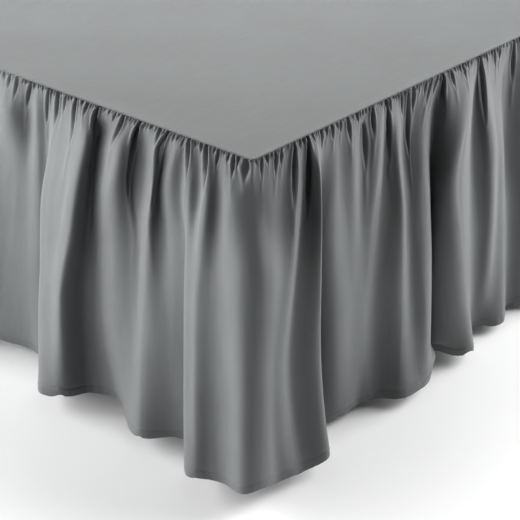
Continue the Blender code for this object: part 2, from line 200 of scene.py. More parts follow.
# The gathers' slits by the near corner. The long ones run on into the troughs between the folds.
NEAR_SLITS = (
    Slit(-413, 22, 2.4, 3.6),
    Slit(-401, 30, 3.0, 4.6),
    Slit(-383, 7, 1.8, 2.2),
    Slit(-372, 34, 3.2, 4.5),
    Slit(-360, 5, 1.6, 1.8),
    Slit(-351, 8, 1.8, 2.4),
    Slit(-339, 46, 3.0, 5.2),
    Slit(-322, 48, 3.6, 5.2),
    Slit(-308, 26, 2.6, 2.6),
    Slit(-298, 5, 1.5, 1.8),
    Slit(-290, 62, 3.4, 3.4),
    Slit(-278, 7, 1.8, 2.4),
    Slit(-268, 20, 2.6, 4.0),
    Slit(-259, 7, 1.6, 2.0),
    Slit(-248, 90, 3.6, 8.0),
    Slit(-239, 6, 1.6, 2.0),
    Slit(-230, 8, 1.7, 2.4),
    Slit(-221, 15, 2.2, 3.0),
    Slit(-213, 5, 1.4, 1.8),
    Slit(-205, 44, 3.8, 6.8),
    Slit(-194, 7, 1.7, 2.2),
    Slit(-177, 95, 3.4, 8.0),
    Slit(-170, 10, 1.8, 2.4),
    Slit(-158, 7, 2.2, 2.4),
    Slit(-145, 20, 2.6, 3.6),
    Slit(-130, 95, 3.4, 8.0),
    Slit(-121, 12, 2.0, 3.2),
    Slit(-113, 8, 1.7, 2.6),
    Slit(-106, 14, 1.9, 2.4),
    Slit(-97, 52, 3.6, 6.8),
    Slit(-88, 8, 1.8, 2.8),
    Slit(-79, 12, 2.2, 2.8),
    Slit(-70, 62, 4.0, 7.2),
    Slit(-58, 7, 1.8, 2.4),
    Slit(-51, 20, 2.2, 3.8),
    Slit(-43, 6, 1.5, 2.0),
    Slit(-36, 13, 1.9, 3.0),
    Slit(-28, 26, 2.8, 4.6),
    Slit(-21, 14, 2.2, 3.0),
    Slit(-9, 24, 5.0, 6.0),
    Slit(5, 7, 1.8, 1.8),
    Slit(14, 22, 2.4, 2.8),
    Slit(23, 12, 2.0, 3.0),
    Slit(31, 5, 1.5, 1.6),
    Slit(38, 26, 2.6, 4.2),
    Slit(48, 19, 2.4, 3.8),
    Slit(58, 10, 2.0, 1.8),
    Slit(71, 72, 3.2, 7.4),
    Slit(80, 12, 2.0, 3.2),
    Slit(87, 9, 1.7, 2.4),
    Slit(94, 90, 3.6, 8.0),
    Slit(105, 12, 1.9, 2.6),
    Slit(112, 6, 1.5, 2.0),
    Slit(121, 24, 2.4, 3.8),
    Slit(131, 12, 1.9, 3.0),
    Slit(141, 18, 2.4, 4.0),
    Slit(149, 6, 1.5, 2.0),
    Slit(157, 14, 2.0, 3.4),
    Slit(170, 30, 2.8, 4.4),
    Slit(179, 6, 1.5, 2.0),
    Slit(188, 13, 2.6, 3.6),
    Slit(198, 60, 3.4, 5.0, 12),
    Slit(206, 6, 1.5, 2.0),
    Slit(218, 38, 3.0, 5.8),
    Slit(230, 6, 1.5, 1.8),
    Slit(246, 80, 3.0, 6.5),
    Slit(252, 18, 2.6, 4.2),
    Slit(261, 5, 1.5, 1.8),
    Slit(268, 6, 1.5, 1.8),
    Slit(276, 30, 2.6, 5.0),
    Slit(291, 85, 3.2, 7.5),
    Slit(303, 30, 3.0, 5.2),
    Slit(316, 10, 1.8, 2.8),
    Slit(330, 16, 2.2, 3.4),
    Slit(342, 28, 2.8, 4.8),
    Slit(356, 22, 2.8, 4.6),
    Slit(367, 85, 3.2, 7.5),
    Slit(383, 24, 3.0, 5.2),
    Slit(393, 6, 1.6, 2.0),
    Slit(404, 10, 2.0, 2.8),
    Slit(413, 22, 2.4, 4.0),
    Slit(423, 10, 2.0, 3.0),
    Slit(433, 6, 1.6, 2.0),
    Slit(450, 90, 3.4, 8.0),
    Slit(456, 6, 1.5, 1.8),
    Slit(466, 14, 2.0, 3.2),
    Slit(484, 26, 2.6, 4.2),
    Slit(500, 18, 2.4, 4.0),
    Slit(510, 6, 1.5, 1.8),
    Slit(518, 8, 1.6, 2.2),
    Slit(533, 60, 3.2, 6.5),
)


def monotone(knots: Sequence[float], values: Sequence[float], at: float) -> float:
    """Read a smooth run through values at knots that never overshoots them.

    Args:
        knots: Rising places.
        values: The value at each knot.
        at: The place to read.

    Returns:
        The value there.
    """
    count = len(knots)
    spans = [b - a for a, b in zip(knots, knots[1:])]
    rises = [(b - a) / span for a, b, span in zip(values, values[1:], spans)]
    slopes = [0.0] * count
    for i in range(1, count - 1):
        before, after = rises[i - 1], rises[i]
        if before * after > 0:
            near, far = spans[i] + 2 * spans[i - 1], 2 * spans[i] + spans[i - 1]
            slopes[i] = (near + far) / (far / before + near / after)
    for end, rise, next_rise, span, next_span in (
        (0, rises[0], rises[1], spans[0], spans[1]),
        (-1, rises[-1], rises[-2], spans[-1], spans[-2]),
    ):
        slope = rise + (rise - next_rise) * span / (span + next_span)
        slopes[end] = sorted((0.0, slope, 3 * rise))[1]
    i = min(sum(at > knot for knot in knots[1:-1]), count - 2)
    u = (at - knots[i]) / spans[i]
    ease = u * u * (3 - 2 * u)
    bulge = u * (1 - u) * spans[i] * (slopes[i] * (1 - u) - slopes[i + 1] * u)
    return values[i] + (values[i + 1] - values[i]) * ease + bulge


def curve_through(points: np.ndarray, segment: np.ndarray, fraction: np.ndarray) -> np.ndarray:
    """Read a natural cubic curve through points.

    Args:
        points: The points in plan.
        segment: For each place to read, the index of the point before it.
        fraction: How far it is towards the next point.

    Returns:
        A point in plan for each place.
    """
    count = len(points)
    chord = np.linalg.norm(np.diff(points, axis=0), axis=1)
    slope = np.diff(points, axis=0) / chord[:, None]
    system = np.eye(count)
    right = np.zeros((count, 2))
    for i in range(1, count - 1):
        system[i, i - 1 : i + 2] = chord[i - 1], 2 * (chord[i - 1] + chord[i]), chord[i]
        right[i] = 6 * (slope[i] - slope[i - 1])
    bend = np.linalg.solve(system, right)
    far = fraction[:, None]
    near = 1 - far
    curved = (near**3 - near) * bend[segment] + (far**3 - far) * bend[segment + 1]
    flat = near * points[segment] + far * points[segment + 1]
    return flat + curved * chord[segment][:, None] ** 2 / 6


def smooth(value: np.ndarray) -> np.ndarray:
    """Ease values from 0 to 1, flat at both ends."""
    held = np.clip(value, 0.0, 1.0)
    return held * held * (3 - 2 * held)


def run_along(points: np.ndarray) -> np.ndarray:
    """Return how far along a line each of its points is."""
    return np.concatenate([[0.0], np.cumsum(np.linalg.norm(np.diff(points, axis=0), axis=1))])


def link_mesh(name: str, mesh: bpy.types.Mesh) -> bpy.types.Object:
    """Shade a mesh smooth and put it in the scene.

    Args:
        name: The piece's name.
        mesh: Its mesh.

    Returns:
        The piece, at the origin.
    """
    mesh.polygons.foreach_set("use_smooth", [True] * len(mesh.polygons))
    mesh.update()
    made = bpy.data.objects.new(name, mesh)
    bpy.context.scene.collection.objects.link(made)
    return made


@dataclass(frozen=True)
class Drape:
    """The shape in which the ruffle hangs: where each point of its cloth is, before the gathers.

    The whole strip runs from the left side's head end, round the far and the near foot corner, to the
    right side's head end.
    """

    deck_low: Vector
    deck_high: Vector
    drop: float = 0.406
    seam_inset: float = 0.6
    corner_radius: float = 2.5
    corner_blend: float = 0.12
    walk_step: float = 0.0058
    top: float = 0.41650
    seed: int = 11
    pitch: tuple[float, float] = (98, 150)
    depth: tuple[float, float] = (60, 84)
    hollow: tuple[float, float] = (8, 22)
    lean: tuple[float, float] = (-16, 16)
    double_crest_pitch: float = 112
    hollow_shares: tuple[float, ...] = (0.35, 0.7, 0.9, 1.0)
    head_hollow: float = 40
    head_drifts: tuple[float, ...] = (0, -1, -1, -2)
    head_outs: tuple[float, ...] = (9, 14, 20, 24)
    end_gap: float = 0.3
    base_clearance: float = 0.0042
    least_fall: float = 0.3

    def edges(self) -> tuple[float, float, float]:
        """Return the foot edge's y and the right edge's x, and the deck's length, in millimetres."""
        length = self.deck_high.y - self.deck_low.y
        return self.deck_low.y / MM, self.deck_high.x / MM, length / MM

    def rim(self, seam: np.ndarray) -> np.ndarray:
        """Place seam positions on the deck's rim.

        Args:
            seam: Distances along the rim from the near corner, in millimetres.

        Returns:
            Points in plan, in millimetres.
        """
        foot, side, _ = self.edges()
        radius = self.corner_radius
        seam = np.asarray(seam, float)
        x = np.empty_like(seam)
        y = np.empty_like(seam)
        for sign, corner in ((1, 0.0), (-1, FAR_CORNER)):
            past = sign * (seam - corner)
            mine = (seam >= FAR_CORNER / 2) == (sign > 0)
            turn = np.clip((past + radius) / (2 * radius), 0, 1) * math.pi / 2
            reach = radius - self.seam_inset
            px = side - radius + reach * np.sin(turn) + np.minimum(past + radius, 0)
            py = foot + radius - reach * np.cos(turn) + np.maximum(past - radius, 0)
            x[mine] = sign * px[mine]
            y[mine] = py[mine]
        return np.stack([x, y], axis=-1)

    def place(self, side: Side, along: float, out: float) -> tuple[float, float]:
        """Place a fold in plan.

        Args:
            side: The edge it is measured from.
            along: Its distance along that edge, in millimetres.
            out: Its distance out from it.

        Returns:
            A point in plan, in millimetres.
        """
        foot, edge, _ = self.edges()
        return {
            Side.FOOT: (edge + along, foot - out),
            Side.RIGHT: (edge + out, foot + along),
            Side.FAR_FOOT: (-edge - along, foot - out),
            Side.LEFT: (-edge - out, foot + along),
        }[side]

    @staticmethod
    def seam_position(fold: Fold) -> float:
        """Return where a fold starts, in millimetres along the whole rim from the near corner."""
        near = fold.side in (Side.FOOT, Side.RIGHT)
        return fold.seam if near else FAR_CORNER - fold.seam

    def plain_folds(self, side: Side, start: float, end: float, rng: random.Random) -> list[Fold]:
        """Fill a stretch of the rim with folds like the ones by the near corner.

        Args:
            side: The edge they hang from.
            start: Where the stretch starts, in the side's own along.
            end: Where it ends.
            rng: The source of their differences.

        Returns:
            Their rows, which end with a hollow.
        """
        pitches: list[float] = []
        while sum(pitches) < end - start:
            pitches.append(rng.uniform(*self.pitch))
        scale = (end - start) / sum(pitches)
        rows = []
        at = start
        for pitch in (pitch * scale for pitch in pitches):
            depth = rng.uniform(*self.depth)
            hollow = rng.uniform(*self.hollow)
            lean = rng.uniform(*self.lean)
            for line in DOUBLE_CREST if pitch > self.double_crest_pitch else SINGLE_CREST:
                places: list[float] = []
                for share, along, out in zip(LEANS, line[1::2], line[2::2]):
                    places += [at + along * pitch + lean * share, out * depth]
                rows.append(Fold(side, at + line.seam * pitch, *places))
            at += pitch
            places = []
            for share, out in zip(LEANS, self.hollow_shares):
                places += [at + lean * share / 2, hollow * out]
            rows.append(Fold(side, at, *places))
        return rows

    def folds(self) -> list[Fold]:
        """Gather the rows of every fold.

        Returns:
            The rows, from the left side's head end to the right side's.
        """
        rng = random.Random(self.seed)
        head = self.edges()[2] - self.end_gap
        down: list[float] = []
        for drift, out in zip(self.head_drifts, self.head_outs):
            down += [head + drift, out]
        ends = [Fold(side, head, *down) for side in (Side.RIGHT, Side.LEFT)]
        last = head - self.head_hollow
        right = self.plain_folds(Side.RIGHT, RIGHT_HOLLOW.seam, last, rng) + ends[:1]
        left = self.plain_folds(Side.LEFT, LEFT_HOLLOW.seam, last, rng) + ends[1:]
        far = FAR_CORNER - FAR_FOLDS[0].seam
        foot = self.plain_folds(Side.FOOT, far, NEAR_FOLDS[0].seam, rng)[:-1]
        near = list(NEAR_FOLDS) + [RIGHT_HOLLOW] + right
        return left[::-1] + [LEFT_HOLLOW] + list(FAR_FOLDS[::-1]) + foot + near

    def fold_points(self, folds: Sequence[Fold], share: float) -> np.ndarray:
        """Place each fold's line in plan.

        Args:
            folds: The folds.
            share: The share of the drop, 0 at the seam.

        Returns:
            A point for each fold, in millimetres.
        """
        knots = (0.0, *SHARES)
        points = []
        for fold in folds:
            along = monotone(knots, (fold.seam, *fold[2::2]), share)
            out = monotone(knots, (-self.seam_inset, *fold[3::2]), share)
            points.append(self.place(fold.side, along, out))
        return np.array(points)

    def level_curve(
        self, folds: Sequence[Fold], share: float, segment: np.ndarray, fraction: np.ndarray
    ) -> np.ndarray:
        """Draw the ruffle in plan at one height.

        Args:
            folds: All the folds, in order.
            share: The share of the drop, 0 at the seam.
            segment: For each column of the cloth, the fold before it.
            fraction: How far it is towards the next fold.

        Returns:
            A point for each column, in millimetres: on the rim at the seam, and on the folds below it.
        """
        seams = np.array([self.seam_position(fold) for fold in folds])
        points = self.fold_points(folds, share)
        offsets = points - self.rim(seams)
        ease = smooth(fraction)[:, None]
        moved = (1 - ease) * offsets[segment] + ease * offsets[segment + 1]
        base = self.rim(seams[segment] * (1 - fraction) + seams[segment + 1] * fraction)
        blend = float(smooth(np.array(share / self.corner_blend)))
        return (1 - blend) * (base + moved) + blend * curve_through(points, segment, fraction)

    def overhang(self, points: np.ndarray) -> np.ndarray:
        """Measure how far points stand out from the deck.

        Args:
            points: Points in plan, in metres.

        Returns:
            Their distances outside its edge, in metres.
        """
        past_side = np.maximum(np.abs(points[:, 0]) - self.deck_high.x, 0)
        past_foot = np.maximum(self.deck_low.y - points[:, 1], 0)
        return np.hypot(past_side, past_foot)

    def room(self, rows: np.ndarray) -> np.ndarray:
        """Measure the cloth's room behind it.

        Args:
            rows: Points by row and column, in metres.

        Returns:
            How far each can move inwards before it touches the base, in metres.
        """
        past_side = np.abs(rows[:, :, 0]) - self.deck_high.x
        past_foot = self.deck_low.y - rows[:, :, 1]
        return np.maximum(np.maximum(past_side, past_foot) + self.base_clearance, 0)

    def hang(self, segment: np.ndarray, fraction: np.ndarray, levels: Sequence[float]) -> np.ndarray:
        """Hang the cloth from the rim.

        The cloth keeps its length from seam to hem, so a fold that stands further out ends higher up.

        Args:
            segment: For each column, the fold before it.
            fraction: How far it is towards the next fold.
            levels: Distances below the seam along the cloth, in metres.

        Returns:
            Points by level and column, in metres.
        """
        folds = self.folds()
        steps = round(self.drop / self.walk_step)
        thread = self.drop / steps
        plan = [self.level_curve(folds, i / steps, segment, fraction) * MM for i in range(steps + 1)]
        fall = np.zeros(len(segment))
        walk = [np.column_stack([plan[0], np.full(len(segment), self.top)])]
        for before, after in zip(plan, plan[1:]):
            aside = self.overhang(after) - self.overhang(before)
            least = (self.least_fall * thread) ** 2
            fall = fall + np.sqrt(np.maximum(thread**2 - aside**2, least))
            walk.append(np.column_stack([after, self.top - fall]))
        walked = np.array(walk)
        rows = []
        for level in levels:
            at = min(level, self.drop) / thread
            low = min(int(at), steps - 1)
            rows.append(walked[low] + (walked[low + 1] - walked[low]) * (at - low))
        return np.array(rows)


@dataclass(frozen=True)
class Gathers:
    """The pinched gathers under the seam and the soft creases below them, in millimetres.

    The short slits and the puckers each have a size from 0 to 1. Their fields give the least measure
    and what the full size adds to it. Every other pair is a range.
    """

    slits: tuple[Slit, ...]
    seed: int = 23
    pitch: tuple[float, float] = (7.0, 15.0)
    end_margin: float = 4.0
    long_share: float = 0.34
    long_spacing: int = 2
    long_length: tuple[float, float] = (40, 90)
    long_width: tuple[float, float] = (2.8, 3.8)
    long_depth: tuple[float, float] = (5, 8)
    short_length: tuple[float, float] = (5, 22)
    short_length_power: float = 1.6
    short_width: tuple[float, float] = (1.6, 1.1)
    short_depth: tuple[float, float] = (2.0, 2.6)
    crease_margin: float = 20.0
    crease_pitch: tuple[float, float] = (18.0, 44.0)
    crease_start: tuple[float, float] = (15, 150)
    crease_depth: tuple[float, float] = (0.15, 0.7)
    crease_width: tuple[float, float] = (6.0, 13.0)
    crease_length: tuple[float, float] = (60.0, 240.0)
    pucker_margin: float = 4.0
    pucker_pitch: tuple[float, float] = (3.2, 6.8)
    pucker_length: tuple[float, float] = (3.0, 6.0)
    pucker_width: tuple[float, float] = (1.3, 0.8)
    pucker_depth: tuple[float, float] = (0.7, 1.0)
    rise: float = 1.6
    waist: float = 0.62
    flare: float = 0.75
    lip: float = 0.22
    lip_place: float = 2.0
    lip_width: float = 0.8
    fade_power: float = 0.65
    foot_crest: float = 0.16
    foot_crest_width: float = 1.6
    lean: tuple[float, float] = (0.05, 0.42)
    lean_reach: float = 28.0
    reach_widths: float = 6.0
    width_share: float = 0.56
    strength: float = 1.6

    @staticmethod
    def sized(measure: tuple[float, float], size: float) -> float:
        """Return the least of a measure and the share of its growth that a size gives."""
        return measure[0] + measure[1] * size

    def all_slits(self, first: float, last: float) -> list[Slit]:
        """Add gathers like the near ones to both sides of them.

        Args:
            first: The rim's first seam position.
            last: Its last one.

        Returns:
            Every slit, in no order.
        """
        rng = random.Random(self.seed)
        found = list(self.slits)
        near = [slit.seam for slit in self.slits]
        for start, end, way in ((max(near), last, 1), (min(near), first, -1)):
            at = start
            since_long = 0
            while way * (end - at) > self.pitch[1] + self.end_margin:
                at += way * rng.uniform(*self.pitch)
                since_long += 1
                if since_long > self.long_spacing and rng.random() < self.long_share:
                    ranges = (self.long_length, self.long_width, self.long_depth)
                    found.append(Slit(at, *(rng.uniform(*between) for between in ranges)))
                    since_long = 0
                else:
                    size = rng.random()
                    length = self.sized(self.short_length, size**self.short_length_power)
                    width = self.sized(self.short_width, size)
                    found.append(Slit(at, length, width, self.sized(self.short_depth, size)))
        return found

    def creases(self, first: float, last: float) -> list[Slit]:
        """Lay soft creases, which start well below the seam.

        Args:
            first: The rim's first seam position.
            last: Its last one.

        Returns:
            The creases, as wide and shallow slits.
        """
        rng = random.Random(self.seed + 1)
        found = []
        at = first + self.crease_margin
        while at < last - self.crease_margin:
            depth = rng.uniform(*self.crease_depth)
            start = rng.uniform(*self.crease_start)
            length = rng.uniform(*self.crease_length)
            found.append(Slit(at, length, rng.uniform(*self.crease_width), depth, start))
            at += rng.uniform(*self.crease_pitch)
        return found

    def puckers(self, first: float, last: float) -> list[Slit]:
        """Lay the fine puckers of the gathering thread, right under the seam.

        Args:
            first: The rim's first seam position.
            last: Its last one.

        Returns:
            The puckers, as small slits.
        """
        rng = random.Random(self.seed + 2)
        measures = (self.pucker_length, self.pucker_width, self.pucker_depth)
        found = []
        at = first + self.pucker_margin
        while at < last - self.pucker_margin:
            size = rng.random()
            found.append(Slit(at, *(self.sized(measure, size) for measure in measures)))
            at += rng.uniform(*self.pucker_pitch)
        return found

    def slant(self, slit: Slit, rng: random.Random) -> float:
        """Choose how a slit leans as it goes down.

        Args:
            slit: The slit.
            rng: The source of the lean's size.

        Returns:
            How far it goes along for each step down, away from the corner nearest to it.
        """
        corner = 0.0 if slit.seam > FAR_CORNER / 2 else FAR_CORNER
        return math.copysign(rng.uniform(*self.lean), slit.seam - corner)

    def pinch(self, slit: Slit, across: np.ndarray, level: np.ndarray) -> np.ndarray:
        """Work out how one slit moves the cloth.

        Args:
            slit: The slit.
            across: The distances along the cloth from the slit's middle, by row and column.
            level: The rows' distances below the seam.

        Returns:
            The way outwards for each row and column: negative in the slit, positive on the lips by
            it and on the single crest into which they run at its foot.
        """
        below = np.maximum(level - slit.start, 0.0)[:, None]
        down = below / slit.length
        width = slit.width * self.width_share
        spindle = self.waist + self.flare * np.sin(np.pi * np.clip(down, 0, 1) ** 0.75)
        share = np.abs(across) / (width * spindle)
        held = np.clip(1.0 - down, 0.0, 1.0) ** self.fade_power
        held = held * (smooth(down * 5.0) if slit.start else np.clip(0.5 + below / self.rise, 0.0, 1.0))
        lips = self.lip * np.exp(-(((share - self.lip_place) / self.lip_width) ** 2))
        notch = -np.exp(-(share**2)) + lips
        tail = smooth((down - 0.5) / 0.4) * smooth((2.2 - down) / 1.2)
        crest = np.exp(-((across / (width * self.foot_crest_width)) ** 2))
        return slit.depth * (notch * held + self.foot_crest * tail * crest)

    def push(self, seam: np.ndarray, level: np.ndarray, run: np.ndarray) -> np.ndarray:
        """Add up every slit, crease and pucker.

        Args:
            seam: The columns' seam positions, in millimetres.
            level: The rows' distances below the seam, in millimetres.
            run: Each point's distance along its row of cloth, by row and column, in millimetres.

        Returns:
            The way outwards for each row and column, in millimetres.
        """
        moved = np.zeros((len(level), len(seam)))
        first, last = float(seam[0]), float(seam[-1])
        rng = random.Random(self.seed + 3)
        drift = self.lean_reach * (1.0 - np.exp(-level / self.lean_reach))[:, None]
        slits = self.all_slits(first, last) + self.creases(first, last) + self.puckers(first, last)
        for slit in slits:
            column = int(np.searchsorted(seam, slit.seam))
            lean = self.slant(slit, rng)
            reach = self.reach_widths * slit.width + self.lean_reach * abs(lean)
            low, high = np.searchsorted(run[0], (run[0, column] - reach, run[0, column] + reach))
            if low == high:
                continue
            across = run[:, low:high] - run[:, column : column + 1] - lean * drift
            moved[:, low:high] += self.pinch(slit, across, level) * self.strength
        return moved


@dataclass(frozen=True)
class Weft:
    """How densely the ruffle's cloth is divided, in millimetres."""

    near_reach: tuple[float, float] = (-470.0, 560.0)
    near_seam_face: float = 3.2
    far_seam_face: float = 7.8
    near_hem_face: float = 6.2
    far_hem_face: float = 11.3
    top_levels: tuple[float, ...] = (0, 1, 2.1, 3.4, 4.8, 6.5, 8.6, 11.2, 14.3, 18, 22.6, 28)
    middle_step: float = 4.8
    middle_end: float = 94.0
    low_step: float = 8.6
    hem_levels: tuple[float, ...] = (389, 391.6, 392.6, 393.4, 394.2, 395.2, 398, 401, 403.6, 405.3, 406)

    def columns(self, drape: Drape) -> tuple[np.ndarray, np.ndarray, np.ndarray]:
        """Divide the strip between its folds, in fours, so that it is halved twice going down.

        Args:
            drape: The shape in which the ruffle hangs.

        Returns:
            Each column's segment between two folds, how far along it the column is, and its seam
            position.
        """
        folds = drape.folds()
        seams = np.array([drape.seam_position(fold) for fold in folds])
        hems = drape.fold_points(folds, 1.0)
        segment: list[int] = []
        fraction: list[float] = []
        for i in range(len(folds) - 1):
            near = self.near_reach[0] < seams[i] < self.near_reach[1]
            seam_face = self.near_seam_face if near else self.far_seam_face
            hem_face = self.near_hem_face if near else self.far_hem_face
            seam_width = abs(seams[i + 1] - seams[i])
            hem_width = np.linalg.norm(hems[i + 1] - hems[i])
            faces = max(math.ceil(seam_width / seam_face), math.ceil(hem_width / hem_face))
            count = COARSEST_STEP * faces
            segment += [i] * count
            fraction += [step / count for step in range(count)]
        segment.append(len(folds) - 2)
        fraction.append(1.0)
        found, share = np.array(segment), np.array(fraction)
        return found, share, seams[found] * (1 - share) + seams[found + 1] * share

    def levels(self) -> list[tuple[float, int]]:
        """Space the rows of the mesh.

        Returns:
            Each row's distance below the seam, and every how many columns it uses.
        """
        rows = [(level, 1) for level in self.top_levels]
        for start, end, spacing, step in (
            (self.top_levels[-1], self.middle_end, self.middle_step, COARSEST_STEP // 2),
            (self.middle_end, self.hem_levels[0], self.low_step, COARSEST_STEP),
        ):
            count = round((end - start) / spacing)
            rows += [(start + (end - start) * (i + 1) / count, step) for i in range(count)]
        return rows + [(level, COARSEST_STEP) for level in self.hem_levels[1:]]


@dataclass(frozen=True)
class Hem:
    """The ruffle's hem, a double turn of its own cloth held by a row of stitches, in millimetres."""

    depth: float = 12.7
    turned_thickness: float = 1.25
    turned_lead: float = 0.4
    turned_rise: float = 0.8
    curl: float = 1.2
    groove: float = 0.6
    groove_width: float = 1.1
    pucker: float = 0.26
    pucker_pitch: tuple[float, float] = (7.0, 22.0)
    pucker_width: tuple[float, float] = (1.8, 3.6)
    pucker_lean: float = 0.5
    pucker_reach: float = 30.0
    pucker_share: tuple[float, float] = (0.3, 1.0)
    band_middle: float = 4.0
    band_half: float = 9.0
    seed: int = 31

    def push(self, along: np.ndarray, level: np.ndarray, drop: float) -> np.ndarray:
        """Work out the hem's relief: the stitched groove, small puckers and the inward curl.

        Args:
            along: The columns' distances along the cloth.
            level: The rows' distances below the seam.
            drop: The ruffle's drop.

        Returns:
            The way outwards for each row and column.
        """
        down = level - (drop - self.depth)
        groove = -self.groove * np.exp(-((down / self.groove_width) ** 2))
        curl = -self.curl * np.clip(down / self.depth, 0.0, 1.0) ** 2
        relief = np.repeat((groove + curl)[:, None], len(along), axis=1)
        rng = random.Random(self.seed)
        band = np.exp(-((np.abs(down - self.band_middle) / self.band_half) ** 4))[:, None]
        at = float(along[0])
        while at < along[-1]:
            at += rng.uniform(*self.pucker_pitch)
            width = rng.uniform(*self.pucker_width)
            lean = rng.uniform(-self.pucker_lean, self.pucker_lean)
            low, high = np.searchsorted(along, (at - self.pucker_reach, at + self.pucker_reach))
            across = (along[None, low:high] - at - lean * down[:, None]) / width
            deep = -(1.0 - across**2) * np.exp(-(across**2) / 2.0)
            relief[:, low:high] += rng.uniform(*self.pucker_share) * self.pucker * band * deep
        return relief


class SheetMesh:
    """A closed thin sheet built from rows of points, with a cloth UV map in metres."""

    def __init__(self, name: str) -> None:
        """Start an empty sheet.

        Args:
            name: The piece's name.
        """
        self.name = name
        self.points: list[np.ndarray] = []
        self.faces: list[tuple[int, ...]] = []
        self.cloth: list[np.ndarray] = []

    def add_rows(
        self, rows: Sequence[np.ndarray], steps: Sequence[int], uv: Sequence[np.ndarray]
    ) -> list[list[int]]:
        """Add one side of the sheet.

        Args:
            rows: Points of each row, all at the full number of columns.
            steps: Every how many columns each row uses.
            uv: Each row's cloth coordinates, laid out as the rows.

        Returns:
            The vertex numbers of each row.
        """
        start = sum(len(part) for part in self.points)
        numbers = []
        for row, step, place in zip(rows, steps, uv):
            self.points.append(row[::step])
            self.cloth.append(place[::step])
            count = len(row[::step])
            numbers.append(list(range(start, start + count)))
            start += count
        return numbers

    def weave(self, numbers: Sequence[Sequence[int]], turned: bool) -> None:
        """Fill the faces between rows, where a row may have half the columns of the one above it.

        Args:
            numbers: The vertex numbers of each row.
            turned: Whether the faces look the other way.
        """
        for upper, lower in zip(numbers, numbers[1:]):
            ratio = (len(upper) - 1) // (len(lower) - 1)
            for i in range(len(lower) - 1):
                top = list(upper[i * ratio : (i + 1) * ratio + 1])
                face = (lower[i], lower[i + 1], *reversed(top))
                self.faces.append(tuple(reversed(face)) if turned else face)

    def close(self, outer: Sequence[Sequence[int]], inner: Sequence[Sequence[int]]) -> None:
        """Join both sides along the seam, the hem and both ends.

        Args:
            outer: Vertex numbers of the outer side, by row.
            inner: Vertex numbers of the inner side, by row.
        """
        for i in range(len(outer[0]) - 1):
            self.faces.append((outer[0][i], outer[0][i + 1], inner[0][i + 1], inner[0][i]))
        for i in range(len(outer[-1]) - 1):
            self.faces.append((outer[-1][i + 1], outer[-1][i], inner[-1][i], inner[-1][i + 1]))
        for upper, lower, back_upper, back_lower in zip(outer, outer[1:], inner, inner[1:]):
            self.faces.append((lower[0], upper[0], back_upper[0], back_lower[0]))
            self.faces.append((upper[-1], lower[-1], back_lower[-1], back_upper[-1]))

    def build(self) -> bpy.types.Object:
        """Make the piece, with its cloth coordinates as a UV map.

        Returns:
            The piece.
        """
        mesh = bpy.data.meshes.new(self.name)
        points = np.concatenate(self.points)
        mesh.from_pydata(points.tolist(), [], self.faces)
        cloth = np.concatenate(self.cloth)
        corners = np.zeros(len(mesh.loops), np.int32)
        mesh.loops.foreach_get("vertex_index", corners)
        layer = mesh.uv_layers.new(name="Cloth")
        layer.data.foreach_set("uv", cloth[corners].astype(np.float32).ravel())
        return link_mesh(self.name, mesh)


def surface_normals(rows: np.ndarray) -> np.ndarray:
    """Work out which way a grid of points faces.

    Args:
        rows: Points by row and column.

    Returns:
        The unit normals on its outer side, by row and column.
    """
    along = np.gradient(rows, axis=1)
    down = np.gradient(rows, axis=0)
    normal = np.cross(down, along)
    return normal / np.maximum(np.linalg.norm(normal, axis=2, keepdims=True), 1e-12)


@dataclass
class HemStitches:
    """The row of stitches that holds the ruffle's hem, in millimetres."""

    length: float = 2.7
    pitch: float = 3.4
    radius: float = 0.2
    sides: int = 4
    profile: tuple[tuple[float, float, float], ...] = (
        (-0.5, 0.35, -0.25),
        (-0.3, 0.95, 0.35),
        (0.3, 0.95, 0.35),
        (0.5, 0.35, -0.25),
    )

    def build(self, name: str, line: np.ndarray, outward: np.ndarray) -> bpy.types.Object:
        """Sew a row of stitches along a line.

        Args:
            name: The piece's name.
            line: Points along the stitch line on the cloth's outer side, in metres.
            outward: The cloth's outward direction at each point.

        Returns:
            One mesh of all the stitches.
        """
        run = run_along(line)
        pitch, length, radius = self.pitch * MM, self.length * MM, self.radius * MM
        points: list[Vector] = []
        faces: list[tuple[int, ...]] = []
        middles = np.arange(pitch, run[-1] - pitch, pitch)
        for middle in middles:
            first = len(points)
            for share, size, proud in self.profile:
                at = middle + share * length
                centre = Vector([float(np.interp(at, run, line[:, k])) for k in range(3)])
                ahead = Vector([float(np.interp(at + length / 4, run, line[:, k])) for k in range(3)])
                out = Vector([float(np.interp(at, run, outward[:, k])) for k in range(3)]).normalized()
                across = out.cross(ahead - centre).normalized()
                centre += out * radius * proud
                for side in range(self.sides):
                    turn = math.tau * (side + 0.5) / self.sides
                    points.append(centre + (across * math.cos(turn) + out * math.sin(turn)) * radius * size)
            rings = len(self.profile)
            for ring in range(rings - 1):
                low = first + ring * self.sides
                for side in range(self.sides):
                    after = (side + 1) % self.sides
                    high = low + self.sides
                    faces.append((low + side, high + side, high + after, low + after))
            last = first + (rings - 1) * self.sides
            faces.append(tuple(range(first, first + self.sides)))
            faces.append(tuple(reversed(range(last, last + self.sides))))
        mesh = bpy.data.meshes.new(name)
        mesh.from_pydata([tuple(point) for point in points], [], faces)
        made = link_mesh(name, mesh)
        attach(made, "root")
        log.info("%s: %d stitches", name, len(middles))
        return made


